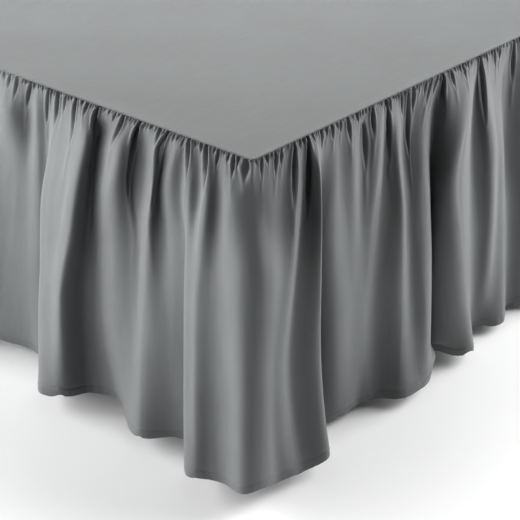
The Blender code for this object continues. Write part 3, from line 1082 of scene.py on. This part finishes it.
@dataclass
class Ruffle:
    """The gathered ruffle, in three lengths of cloth."""

    drape: Drape
    gathers: Gathers
    hem: Hem = field(default_factory=Hem)
    weft: Weft = field(default_factory=Weft)
    stitches: HemStitches = field(default_factory=HemStitches)
    sewn: list[bpy.types.Object] = field(default_factory=list)
    names: tuple[str, ...] = ("ruffle_left", "ruffle_foot", "ruffle_right")
    joins: tuple[float, float] = (FAR_CORNER - 90.0, 132.0)
    thickness: float = 0.55
    join_gap: float = 0.6
    lift: float = 0.9
    lift_reach: float = 9.0
    lift_start: float = 3.0
    lift_full_push: float = 2.5

    def stitch_row(self) -> int:
        """Return the row of the cloth that the hem's stitches follow."""
        line = self.drape.drop / MM - self.hem.depth
        return min(enumerate(self.weft.levels()), key=lambda row: abs(row[1][0] - line))[0]

    def surface(self) -> tuple[np.ndarray, list[int], np.ndarray, np.ndarray]:
        """Work out the middle of the cloth.

        Returns:
            Points by row and column in metres, each row's column step, each column's segment, and the
            cloth coordinates by row and column in metres.
        """
        segment, fraction, seam = self.weft.columns(self.drape)
        spaced = self.weft.levels()
        level = np.array([row[0] for row in spaced])
        rows = self.drape.hang(segment, fraction, list(level * MM))
        run = run_along(rows[-1])
        along = np.gradient(rows[:, :, :2], axis=1)
        along /= np.maximum(np.linalg.norm(along, axis=2, keepdims=True), 1e-12)
        outward = np.stack([along[:, :, 1], -along[:, :, 0]], axis=2)
        spans = np.linalg.norm(np.diff(rows[:, :, :2], axis=1), axis=2) / MM
        runs = np.concatenate([np.zeros((len(level), 1)), np.cumsum(spans, axis=1)], axis=1)
        push = self.gathers.push(seam, level, runs)
        push += self.hem.push(run / MM, level, self.drape.drop / MM)
        push = np.maximum(push, -self.drape.room(rows) / MM)
        rows[:, :, :2] += outward * push[:, :, None] * MM
        near_top = np.exp(-((level / self.lift_reach) ** 2))[:, None]
        crest = np.clip(push / self.lift_full_push, 0.0, 1.0) * smooth(level / self.lift_start)[:, None]
        rows[:, :, 2] += crest * near_top * self.lift * MM
        cloth = np.stack(np.broadcast_arrays(run[None, :], level[:, None] * MM), axis=2)
        return rows, [row[1] for row in spaced], segment, cloth

    def join_columns(self, segment: np.ndarray) -> list[int]:
        """Find where two lengths of cloth meet.

        Args:
            segment: Each column's segment between two folds.

        Returns:
            The columns halfway along the flanks nearest to the joins.
        """
        seams = [self.drape.seam_position(fold) for fold in self.drape.folds()]
        found = []
        for join in self.joins:
            nearest = min(range(len(seams)), key=lambda i: abs(seams[i] - join))
            flank = np.flatnonzero(segment == nearest - 1)
            found.append(int(flank[0]) + COARSEST_STEP * round(len(flank) // 2 / COARSEST_STEP))
        return found

    def build(self) -> list[bpy.types.Object]:
        """Build the three lengths, each a closed sheet that stands for its solid.

        Returns:
            The pieces, from the left side round to the right.
        """
        rows, steps, segment, cloth = self.surface()
        normals = surface_normals(rows)
        level = cloth[:, 0, 1] / MM
        fold_line = self.drape.drop / MM - self.hem.depth - self.hem.turned_lead
        turned = smooth((level - fold_line) / self.hem.turned_rise)
        inside = (self.thickness / 2 + self.hem.turned_thickness * turned) * MM
        ends = [0, *self.join_columns(segment), rows.shape[1] - 1]
        pieces = []
        for name, first, last in zip(self.names, ends, ends[1:]):
            part = slice(first, last + 1)
            own = rows[:, part].copy()
            for end, inner in ((0, COARSEST_STEP), (-1, -1 - COARSEST_STEP)):
                back = own[:, inner] - own[:, end]
                own[:, end] += back / np.linalg.norm(back, axis=1)[:, None] * self.join_gap / 2 * MM
            outer_side = own + normals[:, part] * self.thickness / 2 * MM
            inner_side = own - normals[:, part] * inside[:, None, None]
            sheet = SheetMesh(f"{name}_cloth")
            outer = sheet.add_rows(list(outer_side), steps, list(cloth[:, part]))
            inner_rows = sheet.add_rows(list(inner_side), steps, list(cloth[:, part]))
            sheet.weave(outer, turned=False)
            sheet.weave(inner_rows, turned=True)
            sheet.close(outer, inner_rows)
            piece = sheet.build()
            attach(piece, "root")
            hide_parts(name)
            line = self.stitch_row()
            every = slice(None, None, steps[line])
            stitches = self.stitches.build(
                f"{name}_stitches", outer_side[line][every], normals[line, part][every]
            )
            width = float(cloth[0, last, 0] - cloth[0, first, 0])
            flat = (width, self.drape.drop + 2 * self.hem.depth * MM)
            self.sewn.append(stitches)
            triangles = len(piece.data.loops) - 2 * len(piece.data.polygons)
            log.info("%s: %d triangles, %.2f m of cloth", piece.name, triangles, width)
            pieces.append(piece)
        return pieces


@dataclass
class DeckPanel:
    """The flat panel that lies on the base, with its rim drawn by the gathers.

    The corners low and high are in metres, and all else in millimetres. A row of the rim is its inset
    from the edge, its height over the panel's top, and every how many of the finest columns it uses.
    """

    low: Vector
    high: Vector
    cell: float = 20.0
    border: float = 30.0
    corner_radius: float = 2.5
    rim: tuple[tuple[float, float, int], ...] = (
        (0.75, -1.2, 1),
        (0.1, -0.95, 1),
        (-0.15, -0.35, 1),
        (0.1, 0.3, 1),
        (0.9, 0.62, 1),
        (2.4, 0.4, 1),
        (5.5, 0.22, 2),
        (10.5, 0.12, 2),
        (13.0, 0.0, 4),
        (19.0, 0.0, 4),
        (30.0, 0.0, 8),
    )
    thickness: float = 1.1
    under_gap: float = 0.2
    under_inset: float = 0.8
    waves: int = 9
    swell: float = 0.45
    swell_length: tuple[float, float] = (120.0, 420.0)
    pucker: float = 0.5
    pucker_drop: float = 0.42
    pucker_pitch: tuple[float, float] = (3.6, 9.0)
    pucker_width: tuple[float, float] = (1.6, 3.4)
    pucker_reach: float = 7.0
    strength: tuple[float, float] = (0.3, 1.0)
    head_margin: float = 20.0
    seed: int = 41

    def ring(self, inset: float, count_x: int, count_y: int) -> np.ndarray:
        """Lay a closed row of points around the panel.

        Args:
            inset: Their distance from its edge.
            count_x: The faces along the foot end.
            count_y: The faces along a side.

        Returns:
            Points in plan in millimetres, anticlockwise from the left foot corner.
        """
        half_x = (self.high.x - self.low.x) / 2 / MM - inset
        half_y = (self.high.y - self.low.y) / 2 / MM - inset
        radius = max(self.corner_radius - inset, 0.0)
        corners = ((-1, -1), (1, -1), (1, 1), (-1, 1))
        points = []
        for side, count in enumerate((count_x, count_y, count_x, count_y)):
            start = np.array(corners[side]) * (half_x, half_y)
            end = np.array(corners[(side + 1) % 4]) * (half_x, half_y)
            length = np.linalg.norm(end - start)
            way = (end - start) / length
            inward = np.array([-way[1], way[0]])
            for step in range(count):
                run = length * step / count
                at_foot = (run < length / 2 and side in (0, 1)) or (run >= length / 2 and side in (0, 3))
                near = min(run, length - run)
                point = start + way * run
                if at_foot and near < radius:
                    turn = math.radians(45) * (1 - near / radius)
                    along = radius - radius * math.sin(turn)
                    point = start + way * (along if run < length / 2 else length - along)
                    point = point + inward * radius * (1 - math.cos(turn))
                points.append(point)
        middle = np.array([self.low.x + self.high.x, self.low.y + self.high.y]) / 2 / MM
        return np.array(points) + middle

    def undulation(self, points: np.ndarray) -> np.ndarray:
        """Work out the panel's soft rise and fall.

        Args:
            points: Points in plan, in millimetres.

        Returns:
            The height at each, in millimetres.
        """
        rng = random.Random(self.seed)
        height = np.zeros(len(points))
        for _ in range(self.waves):
            turn = rng.uniform(0, math.tau)
            length = rng.uniform(*self.swell_length)
            phase = rng.uniform(0, math.tau)
            run = points[:, 0] * math.cos(turn) + points[:, 1] * math.sin(turn)
            height += rng.uniform(*self.strength) * np.sin(math.tau * run / length + phase)
        return height * self.swell / 3

    def puckers(self, run: np.ndarray) -> np.ndarray:
        """Work out how the gathers draw the rim.

        Args:
            run: The distances along the edge, in millimetres.

        Returns:
            How strongly the rim is drawn out at each, from 0 to about 1.
        """
        rng = random.Random(self.seed + 1)
        drawn = np.zeros(len(run))
        at = 0.0
        while at < run[-1]:
            at += rng.uniform(*self.pucker_pitch)
            width = rng.uniform(*self.pucker_width)
            low, high = np.searchsorted(run, (at - 4 * width, at + 4 * width))
            across = (run[low:high] - at) / width
            drawn[low:high] += rng.uniform(*self.strength) * np.exp(-(across**2))
        return drawn

    def build(self) -> bpy.types.Object:
        """Build the panel as a closed sheet: its top, its underside and the rolled rim.

        Returns:
            The piece.
        """
        count_x = round(((self.high.x - self.low.x) / MM - 2 * self.border) / self.cell)
        count_y = round(((self.high.y - self.low.y) / MM - 2 * self.border) / self.cell)
        finest = self.rim[-1][2]
        sheet = SheetMesh("deck_panel_cloth")
        top_z = self.high.z / MM
        edge = self.ring(0.0, count_x * finest, count_y * finest)
        drawn = self.puckers(run_along(edge))
        drawn[edge[:, 1] > self.high.y / MM - self.head_margin] = 0.0
        away = edge - edge.mean(axis=0)
        away /= np.linalg.norm(away, axis=1)[:, None]
        loops = {}
        for turned in (False, True):
            rows, steps, uv = [], [], []
            for inset, height, step in self.rim:
                plan = self.ring(inset, count_x * finest, count_y * finest)
                fade = math.exp(-((inset / self.pucker_reach) ** 2))
                plan = plan - away * (drawn * self.pucker * fade)[:, None]
                if turned:
                    z = np.full(len(plan), top_z - self.thickness - self.under_gap)
                    plan = plan - away * self.under_inset
                else:
                    swell = self.undulation(plan) * min(inset / self.border, 1.0)
                    z = top_z + (swell - drawn * fade * self.pucker_drop) + height
                rows.append(np.column_stack([plan, z]) * MM)
                uv.append(plan * MM)
                steps.append(step)
            numbers = [row + [row[0]] for row in sheet.add_rows(rows, steps, uv)]
            sheet.weave(numbers, turned=not turned)
            self.fill(sheet, numbers[-1][:-1], rows[-1][::finest], count_x, count_y, turned)
            loops[turned] = numbers
        for i in range(len(loops[False][0]) - 1):
            top, under = loops[False][0], loops[True][0]
            sheet.faces.append((under[i], under[i + 1], top[i + 1], top[i]))
        piece = sheet.build()
        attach(piece, "root")
        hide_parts("deck_panel")
        log.info("%s: %d faces", piece.name, len(piece.data.polygons))
        return piece

    def fill(
        self,
        sheet: SheetMesh,
        loop: Sequence[int],
        border: np.ndarray,
        count_x: int,
        count_y: int,
        turned: bool,
    ) -> None:
        """Fill the inside of the last ring with a grid.

        Args:
            sheet: The sheet that the grid is added to.
            loop: The last ring's vertex numbers.
            border: The last ring's points, in metres.
            count_x: The grid's faces across.
            count_y: The grid's faces along.
            turned: Whether it is the underside.
        """
        across = border[: count_x + 1, 0] / MM
        along = border[count_x : count_x + count_y + 1, 1] / MM
        grid = np.array([(x, y) for y in along[1:-1] for x in across[1:-1]])
        if turned:
            z = np.full(len(grid), border[0, 2] / MM)
        else:
            z = self.high.z / MM + self.undulation(grid)
        inner = sheet.add_rows([np.column_stack([grid, z]) * MM], [1], [grid * MM])[0]

        def number(i: int, j: int) -> int:
            """Find the vertex at a grid crossing.

            Args:
                i: The crossing's place across.
                j: Its place along.

            Returns:
                The vertex number.
            """
            if j == 0:
                return loop[i]
            if i == count_x:
                return loop[count_x + j]
            if j == count_y:
                return loop[2 * count_x + count_y - i]
            if i == 0:
                return loop[(2 * count_x + 2 * count_y - j) % len(loop)]
            return inner[(j - 1) * (count_x - 1) + i - 1]

        for j in range(count_y):
            for i in range(count_x):
                face = (number(i, j), number(i + 1, j), number(i + 1, j + 1), number(i, j + 1))
                sheet.faces.append(tuple(reversed(face)) if turned else face)


def deselect_all() -> None:
    """Leave nothing selected, so that the next operator acts on its own piece."""
    bpy.ops.object.select_all(action="DESELECT")


def add_block(name: str, low: Vector, high: Vector) -> bpy.types.Object:
    """Add a block, with its place in its mesh.

    Args:
        name: The piece's name.
        low: Its lowest corner.
        high: Its highest corner.

    Returns:
        The block, selected and active.
    """
    deselect_all()
    bpy.ops.mesh.primitive_cube_add(size=1.0, location=(low + high) / 2)
    block = bpy.context.object
    block.name = name
    block.scale = high - low
    bpy.ops.object.transform_apply(location=True, rotation=True, scale=True)
    return block


def select_parts(piece: bpy.types.Object, kind: str, wanted: Callable[[Any], bool]) -> None:
    """Select the edges or faces that a test picks, and go into edit mode.

    Args:
        piece: The active object.
        kind: EDGE or FACE.
        wanted: Takes an edge or a face, and says whether it is selected.
    """
    bpy.ops.object.mode_set(mode="EDIT")
    bpy.ops.mesh.select_mode(type=kind)
    bpy.ops.mesh.select_all(action="DESELECT")
    bpy.ops.object.mode_set(mode="OBJECT")
    for part in piece.data.edges if kind == "EDGE" else piece.data.polygons:
        part.select = wanted(part)
    bpy.ops.object.mode_set(mode="EDIT")


def bevel_edges(
    piece: bpy.types.Object, wanted: Callable[[Vector, Vector], bool], width: float, segments: int
) -> None:
    """Round the edges that a test picks.

    Args:
        piece: The active object.
        wanted: Takes an edge's two ends, and says whether it is rounded.
        width: The radius, in metres.
        segments: The faces round the bend.
    """
    points = piece.data.vertices
    select_parts(piece, "EDGE", lambda edge: wanted(*(points[i].co for i in edge.vertices)))
    bpy.ops.mesh.bevel(offset=width, segments=segments, affect="EDGES")
    bpy.ops.object.mode_set(mode="OBJECT")


def is_upright(a: Vector, b: Vector) -> bool:
    """Say whether an edge runs mainly up and down."""
    return abs(a.z - b.z) > 0.9 * (a - b).length


def is_level(a: Vector, b: Vector) -> bool:
    """Say whether an edge lies level."""
    return abs(a.z - b.z) < 1e-6


@dataclass
class BedBase:
    """The sprung base under the skirt, in its woven cover."""

    low: Vector
    high: Vector
    corner_radius: float = 0.030
    edge_radius: float = 0.006
    smooth_angle: float = 40.0

    def build(self) -> bpy.types.Object:
        """Build the base as a block with round corners and softer top and bottom edges.

        Returns:
            The piece.
        """
        base = add_block("bed_base_cover", self.low, self.high)
        bevel_edges(base, is_upright, self.corner_radius, 8)
        bevel_edges(base, is_level, self.edge_radius, 4)
        bpy.ops.object.shade_smooth_by_angle(angle=math.radians(self.smooth_angle))
        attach(base, "root")
        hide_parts("bed_base")
        log.info("%s: %d faces", base.name, len(base.data.polygons))
        return base


@dataclass
class Legs:
    """The six tapered wooden legs."""

    boxes: dict[str, tuple[Vector, Vector]]
    foot_share: float = 0.040 / 0.056
    edge_radius: float = 0.003
    smooth_angle: float = 40.0

    def build(self) -> list[bpy.types.Object]:
        """Shape one leg, and copy it to the others' places.

        Returns:
            The legs, in the order of their names.
        """
        names = sorted(self.boxes)
        low, high = self.boxes[names[0]]
        first = add_block(f"{names[0]}_wood", low, high)
        self.taper(first)
        bevel_edges(first, lambda a, b: True, self.edge_radius, 3)
        bpy.ops.object.shade_smooth_by_angle(angle=math.radians(self.smooth_angle))
        legs = [first]
        for name in names[1:]:
            deselect_all()
            leg = first.copy()
            leg.data = first.data.copy()
            leg.name = f"{name}_wood"
            bpy.context.scene.collection.objects.link(leg)
            leg.data.transform(Matrix.Translation(self.boxes[name][0] - low))
            legs.append(leg)
        for name, leg in zip(names, legs):
            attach(leg, "root")
            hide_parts(name)
        log.info("%d legs of %d faces", len(legs), len(first.data.polygons))
        return legs

    def taper(self, leg: bpy.types.Object) -> None:
        """Draw in a leg's foot.

        Args:
            leg: The leg, which is active.
        """
        select_parts(leg, "FACE", lambda face: face.normal.z < -0.9)
        bpy.ops.transform.resize(value=(self.foot_share, self.foot_share, 1.0))
        bpy.ops.object.mode_set(mode="OBJECT")


class Wire:
    """A shader socket that carries a number and can be used in sums."""

    def __init__(self, board: "Board", socket: bpy.types.NodeSocket) -> None:
        """Wrap a socket.

        Args:
            board: The board that its node is on.
            socket: An output of that node.
        """
        self.board = board
        self.socket = socket

    def _math(self, operation: str, *values: Any) -> "Wire":
        """Feed values to a Math node and return what comes out."""
        return self.board.node("ShaderNodeMath", {"operation": operation}, dict(enumerate(values)))

    def __add__(self, other: Any) -> "Wire":
        """Add a wire or number."""
        return self._math("ADD", self, other)

    def __radd__(self, other: Any) -> "Wire":
        """Add to a number."""
        return self._math("ADD", other, self)

    def __sub__(self, other: Any) -> "Wire":
        """Subtract a wire or number."""
        return self._math("SUBTRACT", self, other)

    def __rsub__(self, other: Any) -> "Wire":
        """Subtract from a number."""
        return self._math("SUBTRACT", other, self)

    def __mul__(self, other: Any) -> "Wire":
        """Multiply by a wire or number."""
        return self._math("MULTIPLY", self, other)

    def __rmul__(self, other: Any) -> "Wire":
        """Multiply a number."""
        return self._math("MULTIPLY", other, self)

    def sine(self) -> "Wire":
        """Return the sine."""
        return self._math("SINE", self)

    def ease(self, low: float, high: float) -> "Wire":
        """Return 0 below low, 1 above high, and a smooth rise between them."""
        settings = {"interpolation_type": "SMOOTHSTEP"}
        return self.board.node("ShaderNodeMapRange", settings, {0: self, 1: low, 2: high})


class Board:
    """The node tree of one material."""

    def __init__(self, name: str) -> None:
        """Make a material whose tree holds only a Principled BSDF and its output.

        Args:
            name: The material's name.
        """
        self.material = bpy.data.materials.new(name)
        self.material.use_nodes = True
        self.tree = self.material.node_tree
        self.shader = self.tree.nodes["Principled BSDF"]

    def plug(self, socket: bpy.types.NodeSocket, value: Any) -> None:
        """Link a wire to a socket, or set a plain value on it.

        Args:
            socket: A node's input.
            value: A wire, or the value.
        """
        if isinstance(value, Wire):
            self.tree.links.new(value.socket, socket)
        else:
            socket.default_value = value

    def node(
        self, kind: str, settings: dict[str, Any], inputs: dict[Any, Any], output: Any = 0
    ) -> Wire:
        """Add a node.

        Args:
            kind: Its type.
            settings: Its own settings; "stops" are a ramp's places and colours.
            inputs: A value or a wire for each socket, by name or number.
            output: The output to return, by name or number.

        Returns:
            That output.
        """
        made = self.tree.nodes.new(kind)
        for key, value in settings.items():
            if key == "stops":
                self.set_stops(made.color_ramp, value)
            else:
                setattr(made, key, value)
        for key, value in inputs.items():
            self.plug(made.inputs[key], value)
        return Wire(self, made.outputs[output])

    @staticmethod
    def set_stops(ramp: bpy.types.ColorRamp, stops: Sequence[tuple[float, tuple]]) -> None:
        """Give a ramp its places and colours.

        Args:
            ramp: The ramp.
            stops: A place and a colour for each stop.
        """
        while len(ramp.elements) < len(stops):
            ramp.elements.new(0.5)
        for element, (place, color) in zip(ramp.elements, stops):
            element.position = place
            element.color = color

    def noise(self, vector: Wire, scale: float, detail: float = 2.0, roughness: float = 0.5) -> Wire:
        """Return a soft noise from 0 to 1, with that many waves to a metre."""
        inputs = {"Vector": vector, "Scale": scale, "Detail": detail, "Roughness": roughness}
        return self.node("ShaderNodeTexNoise", {"noise_dimensions": "3D"}, inputs, "Fac")

    def mix(self, factor: Wire, first: Sequence[float], second: Sequence[float]) -> Wire:
        """Return a colour between two, by a factor."""
        inputs = {0: factor, 6: (*first, 1.0), 7: (*second, 1.0)}
        return self.node("ShaderNodeMix", {"data_type": "RGBA"}, inputs, 2)

    def bump(self, height: Wire, distance: float, strength: float = 1.0) -> Wire:
        """Return a surface normal raised by a height."""
        inputs = {"Height": height, "Distance": distance, "Strength": strength}
        return self.node("ShaderNodeBump", {}, inputs)

    def finish(self, inputs: dict[str, Any]) -> bpy.types.Material:
        """Finish the material.

        Args:
            inputs: A value or a wire for each of the shader's sockets that isn't left as it is.

        Returns:
            The material.
        """
        for name, value in inputs.items():
            self.plug(self.shader.inputs[name], value)
        return self.material


@dataclass(frozen=True)
class BrushedCloth:
    """A finely woven cloth with a short brushed nap, in one colour; its hem band can carry painted shade.
    """

    name: str
    dark: tuple[float, float, float]
    light: tuple[float, float, float]
    thread_pitch: float = 0.00046
    nap: float = 0.8
    sheen: float = 0.15
    grain_scale: float = 900.0
    cloud_scale: float = 9.0
    streak_scale: float = 160.0
    streak_stretch: float = 0.12
    relief: float = 0.00012
    # hem_start, hem_step and the hem's shade factor darken the hem band: painted shade for the hem's inward
    # curl, not a darker cloth.
    hem_start: float | None = None
    hem_step: float = 0.0012
    hem_painted_shade: float = 0.92

    def make(self) -> bpy.types.Material:
        """Build the material on the piece's cloth coordinates.

        Returns:
            The material.
        """
        board = Board(self.name)
        cloth = board.node("ShaderNodeUVMap", {"uv_map": "Cloth"}, {})
        parts = [board.node("ShaderNodeSeparateXYZ", {}, {0: cloth}, axis) for axis in (0, 1)]
        warp, weft = ((part * (math.tau / self.thread_pitch)).sine() for part in parts)
        weave = warp * weft
        grain = board.noise(cloth, self.grain_scale, 3.0, 0.6)
        cloud = board.noise(cloth, self.cloud_scale, 3.0, 0.55)
        scale = (1.0, self.streak_stretch, 1.0)
        stretched = board.node("ShaderNodeMapping", {}, {"Vector": cloth, "Scale": scale})
        streak = board.noise(stretched, self.streak_scale, 2.0, 0.6)
        tone = cloud * 0.42 + streak * 0.28 + grain * 0.3
        color = board.mix(tone.ease(0.25, 0.75), self.dark, self.light)
        # Painted shade: below hem_start the colour is multiplied darker, standing in for the shade where
        # the hem curls inwards.
        if self.hem_start is not None:
            turned = parts[1].ease(self.hem_start, self.hem_start + self.hem_step)
            shade = 1.0 - turned * (1 - self.hem_painted_shade)
            settings = {"data_type": "RGBA", "blend_type": "MULTIPLY"}
            painted_shade_gray = board.node("ShaderNodeCombineColor", {}, {0: shade, 1: shade, 2: shade})
            color = board.node("ShaderNodeMix", settings, {0: 1.0, 6: color, 7: painted_shade_gray}, 2)
        height = weave * 0.35 + grain * self.nap + streak * 0.5
        return board.finish(
            {
                "Base Color": color,
                "Roughness": 0.66 + cloud * 0.12,
                "Normal": board.bump(height, self.relief, 0.55),
                "Sheen Weight": self.sheen,
                "Sheen Roughness": 0.36,
                "Sheen Tint": (0.93, 0.97, 1.0, 1.0),
                "Specular IOR Level": 0.25,
            }
        )


@dataclass(frozen=True)
class StitchThread:
    """The sewing thread of the hem, a touch lighter than the cloth."""

    name: str = "stitch thread"
    dark: tuple[float, float, float] = (0.085, 0.089, 0.091)
    light: tuple[float, float, float] = (0.135, 0.14, 0.142)
    twist_scale: float = 2600.0

    def make(self) -> bpy.types.Material:
        """Build the material on object coordinates, as fine as the thread's twist.

        Returns:
            The material.
        """
        board = Board(self.name)
        place = board.node("ShaderNodeTexCoord", {}, {}, "Object")
        twist = board.noise(place, self.twist_scale, 2.0, 0.6)
        return board.finish(
            {
                "Base Color": board.mix(twist.ease(0.3, 0.7), self.dark, self.light),
                "Roughness": 0.5 + twist * 0.2,
                "Sheen Weight": 0.1,
            }
        )


@dataclass(frozen=True)
class WovenCover:
    """The plain woven cover of the base."""

    name: str = "woven cover"
    dark: tuple[float, float, float] = (0.50, 0.485, 0.45)
    light: tuple[float, float, float] = (0.64, 0.62, 0.58)
    thread_pitch: float = 0.0012
    cloud_scale: float = 14.0
    grain_scale: float = 700.0
    relief: float = 0.0002

    def make(self) -> bpy.types.Material:
        """Build the material on object coordinates, which suit a block's faces.

        Returns:
            The material.
        """
        board = Board(self.name)
        place = board.node("ShaderNodeTexCoord", {}, {}, "Object")
        parts = [board.node("ShaderNodeSeparateXYZ", {}, {0: place}, axis) for axis in (0, 1, 2)]
        waves = [(part * (math.tau / self.thread_pitch)).sine() for part in parts]
        weave = waves[0] * waves[1] + waves[1] * waves[2] + waves[0] * waves[2]
        cloud = board.noise(place, self.cloud_scale, 4.0, 0.6)
        grain = board.noise(place, self.grain_scale, 3.0, 0.6)
        tone = cloud * 0.5 + grain * 0.35 + weave * 0.05
        return board.finish(
            {
                "Base Color": board.mix(tone.ease(0.2, 0.75), self.dark, self.light),
                "Roughness": 0.80 + grain * 0.12,
                "Normal": board.bump(weave * 0.5 + grain, self.relief, 0.6),
                "Sheen Weight": 0.2,
                "Sheen Roughness": 0.5,
            }
        )


@dataclass(frozen=True)
class StainedWood:
    """Satin stained wood, with its grain along the leg."""

    name: str = "stained wood"
    dark: tuple[float, float, float] = (0.13, 0.065, 0.032)
    light: tuple[float, float, float] = (0.33, 0.19, 0.10)
    grain_stretch: float = 0.06
    figure_scale: float = 60.0
    pore_scale: float = 900.0
    relief: float = 0.0002

    def make(self) -> bpy.types.Material:
        """Build the material on object coordinates, squeezed along the grain.

        Returns:
            The material.
        """
        board = Board(self.name)
        place = board.node("ShaderNodeTexCoord", {}, {}, "Object")
        scale = (1.0, 1.0, self.grain_stretch)
        along = board.node("ShaderNodeMapping", {}, {"Vector": place, "Scale": scale})
        figure = board.noise(along, self.figure_scale, 5.0, 0.62)
        pores = board.noise(along, self.pore_scale, 2.0, 0.5)
        tone = figure * 0.8 + pores * 0.25
        return board.finish(
            {
                "Base Color": board.mix(tone.ease(0.3, 0.75), self.dark, self.light),
                "Roughness": 0.36 + pores * 0.2,
                "Normal": board.bump(pores * 0.6 + figure * 0.4, self.relief, 0.5),
                "Coat Weight": 0.15,
                "Coat Roughness": 0.3,
            }
        )


@dataclass(frozen=True)
class StudioFloor:
    """The pale seamless floor."""

    name: str = "pale floor"
    shade: float = 0.93
    mottle: float = 0.985

    def make(self) -> bpy.types.Material:
        """Build a plain matt material, with the faintest mottling.

        Returns:
            The material.
        """
        board = Board(self.name)
        place = board.node("ShaderNodeTexCoord", {}, {}, "Object")
        cloud = board.noise(place, 1.5, 2.0, 0.5)
        dark = (self.shade * self.mottle,) * 3
        light = (self.shade,) * 3
        return board.finish({"Base Color": board.mix(cloud, dark, light), "Roughness": 0.9})


@dataclass(frozen=True)
class Softbox:
    """A large soft light, aimed at a point."""

    name: str
    place: tuple[float, float, float]
    target: tuple[float, float, float]
    power: float
    size: float = 1.5

    def build(self) -> bpy.types.Object:
        """Hang the light, out of the camera's sight.

        Returns:
            The light.
        """
        lamp = bpy.data.lights.new(self.name, "AREA")
        lamp.shape = "SQUARE"
        lamp.size = self.size
        lamp.energy = self.power
        made = bpy.data.objects.new(self.name, lamp)
        made.location = self.place
        way = Vector(self.target) - Vector(self.place)
        made.rotation_euler = way.to_track_quat("-Z", "Y").to_euler()
        made.visible_camera = False
        bpy.context.scene.collection.objects.link(made)
        return made


@dataclass
class Studio:
    """The camera, the lights and the floor."""

    near_corner: Vector
    camera_offset: tuple[float, float, float] = (1.0161, -1.1497, 0.6834)
    azimuth: float = 41.177
    elevation: float = 27.824
    focal_ratio: float = 1500 / 520
    sensor: float = 36.0
    floor_size: float = 16.0
    low_light: float = 0.76
    ambient: tuple[float, float, float] = (0.002, 0.002, 0.002)

    def build_camera(self) -> bpy.types.Object:
        """Stand the camera off the near corner, looking down at it.

        Returns:
            The camera.
        """
        lens = bpy.data.cameras.new("camera")
        lens.sensor_width = self.sensor
        lens.lens = self.sensor * self.focal_ratio
        lens.clip_start = 0.05
        lens.clip_end = 60.0
        camera = bpy.data.objects.new("camera", lens)
        around, up = math.radians(self.azimuth), math.radians(self.elevation)
        back = Vector((math.sin(around) * math.cos(up), -math.cos(around) * math.cos(up), math.sin(up)))
        right = Vector((math.cos(around), math.sin(around), 0.0))
        turn = Matrix((right, back.cross(right), back)).transposed()
        place = self.near_corner + Vector(self.camera_offset)
        camera.matrix_world = Matrix.Translation(place) @ turn.to_4x4()
        bpy.context.scene.collection.objects.link(camera)
        bpy.context.scene.camera = camera
        return camera

    def build_floor(self) -> bpy.types.Object:
        """Lay the floor under the whole bed.

        Returns:
            The floor.
        """
        deselect_all()
        bpy.ops.mesh.primitive_plane_add(size=self.floor_size, location=(0.0, 0.0, 0.0))
        floor = bpy.context.object
        floor.name = "studio_floor"
        floor.data.materials.append(StudioFloor().make())
        return floor

    def softboxes(self) -> list[Softbox]:
        """Place the lights.

        Returns:
            Low ones on the left, in front and at the right rear, a high one on the right, all aimed
            at the near corner, and one over the deck.
        """
        x, y, z = self.near_corner
        low = self.low_light
        corner = (x, y, z * 0.48)
        deck = (x - 0.45, y + 0.60, z)
        return [
            Softbox("left softbox", (x - 2.48, y - 0.90, low), corner, 110.0),
            Softbox("left rear softbox", (x - 2.48, y + 0.90, low), corner, 25.0),
            Softbox("left front softbox", (x - 1.87, y - 1.87, low), corner, 48.0),
            Softbox("front softbox", (x - 0.68, y - 2.55, low), corner, 31.0),
            Softbox("right rear softbox", (x + 0.90, y + 2.48, low), corner, 92.0),
            Softbox("high right softbox", (x + 1.33, y + 1.58, 1.94), corner, 47.0),
            Softbox("back softbox", (x - 0.95, y + 1.15, 1.55), deck, 31.0, size=1.0),
        ]

    def build(self) -> None:
        """Set up the whole studio."""
        self.build_camera()
        self.build_floor()
        for softbox in self.softboxes():
            softbox.build()
        world = bpy.data.worlds.new("studio air")
        world.use_nodes = True
        world.node_tree.nodes["Background"].inputs["Color"].default_value = (*self.ambient, 1.0)
        bpy.context.scene.world = world
        bpy.context.scene.view_settings.view_transform = "Standard"


def dress(pieces: Sequence[bpy.types.Object], material: bpy.types.Material) -> None:
    """Give pieces their material.

    Args:
        pieces: The pieces.
        material: The one material that they get.
    """
    for piece in pieces:
        piece.data.materials.clear()
        piece.data.materials.append(material)


def main() -> None:
    """Build the skirt, the bed under it and the studio."""
    logging.basicConfig(level=logging.INFO, format="%(name)s: %(message)s")
    low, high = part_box("deck_panel")
    Studio(Vector((high.x, low.y, high.z))).build()
    base = BedBase(*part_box("bed_base")).build()
    legs = Legs({name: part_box(name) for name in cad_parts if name.startswith("leg_")}).build()
    deck = DeckPanel(low, high).build()
    ruffle = Ruffle(Drape(low, high), Gathers(NEAR_SLITS))
    lengths = ruffle.build()
    skirt_cloth = BrushedCloth(
        "skirt cloth", dark=(0.089, 0.093, 0.095), light=(0.118, 0.124, 0.126), hem_start=0.3925
    )
    deck_cloth = BrushedCloth("deck cloth", dark=(0.09, 0.0935, 0.093), light=(0.119, 0.1245, 0.1235))
    dress(lengths, skirt_cloth.make())
    dress([deck], deck_cloth.make())
    dress(ruffle.sewn, StitchThread().make())
    dress([base], WovenCover().make())
    dress(legs, StainedWood().make())


if __name__ == "__main__":
    main()
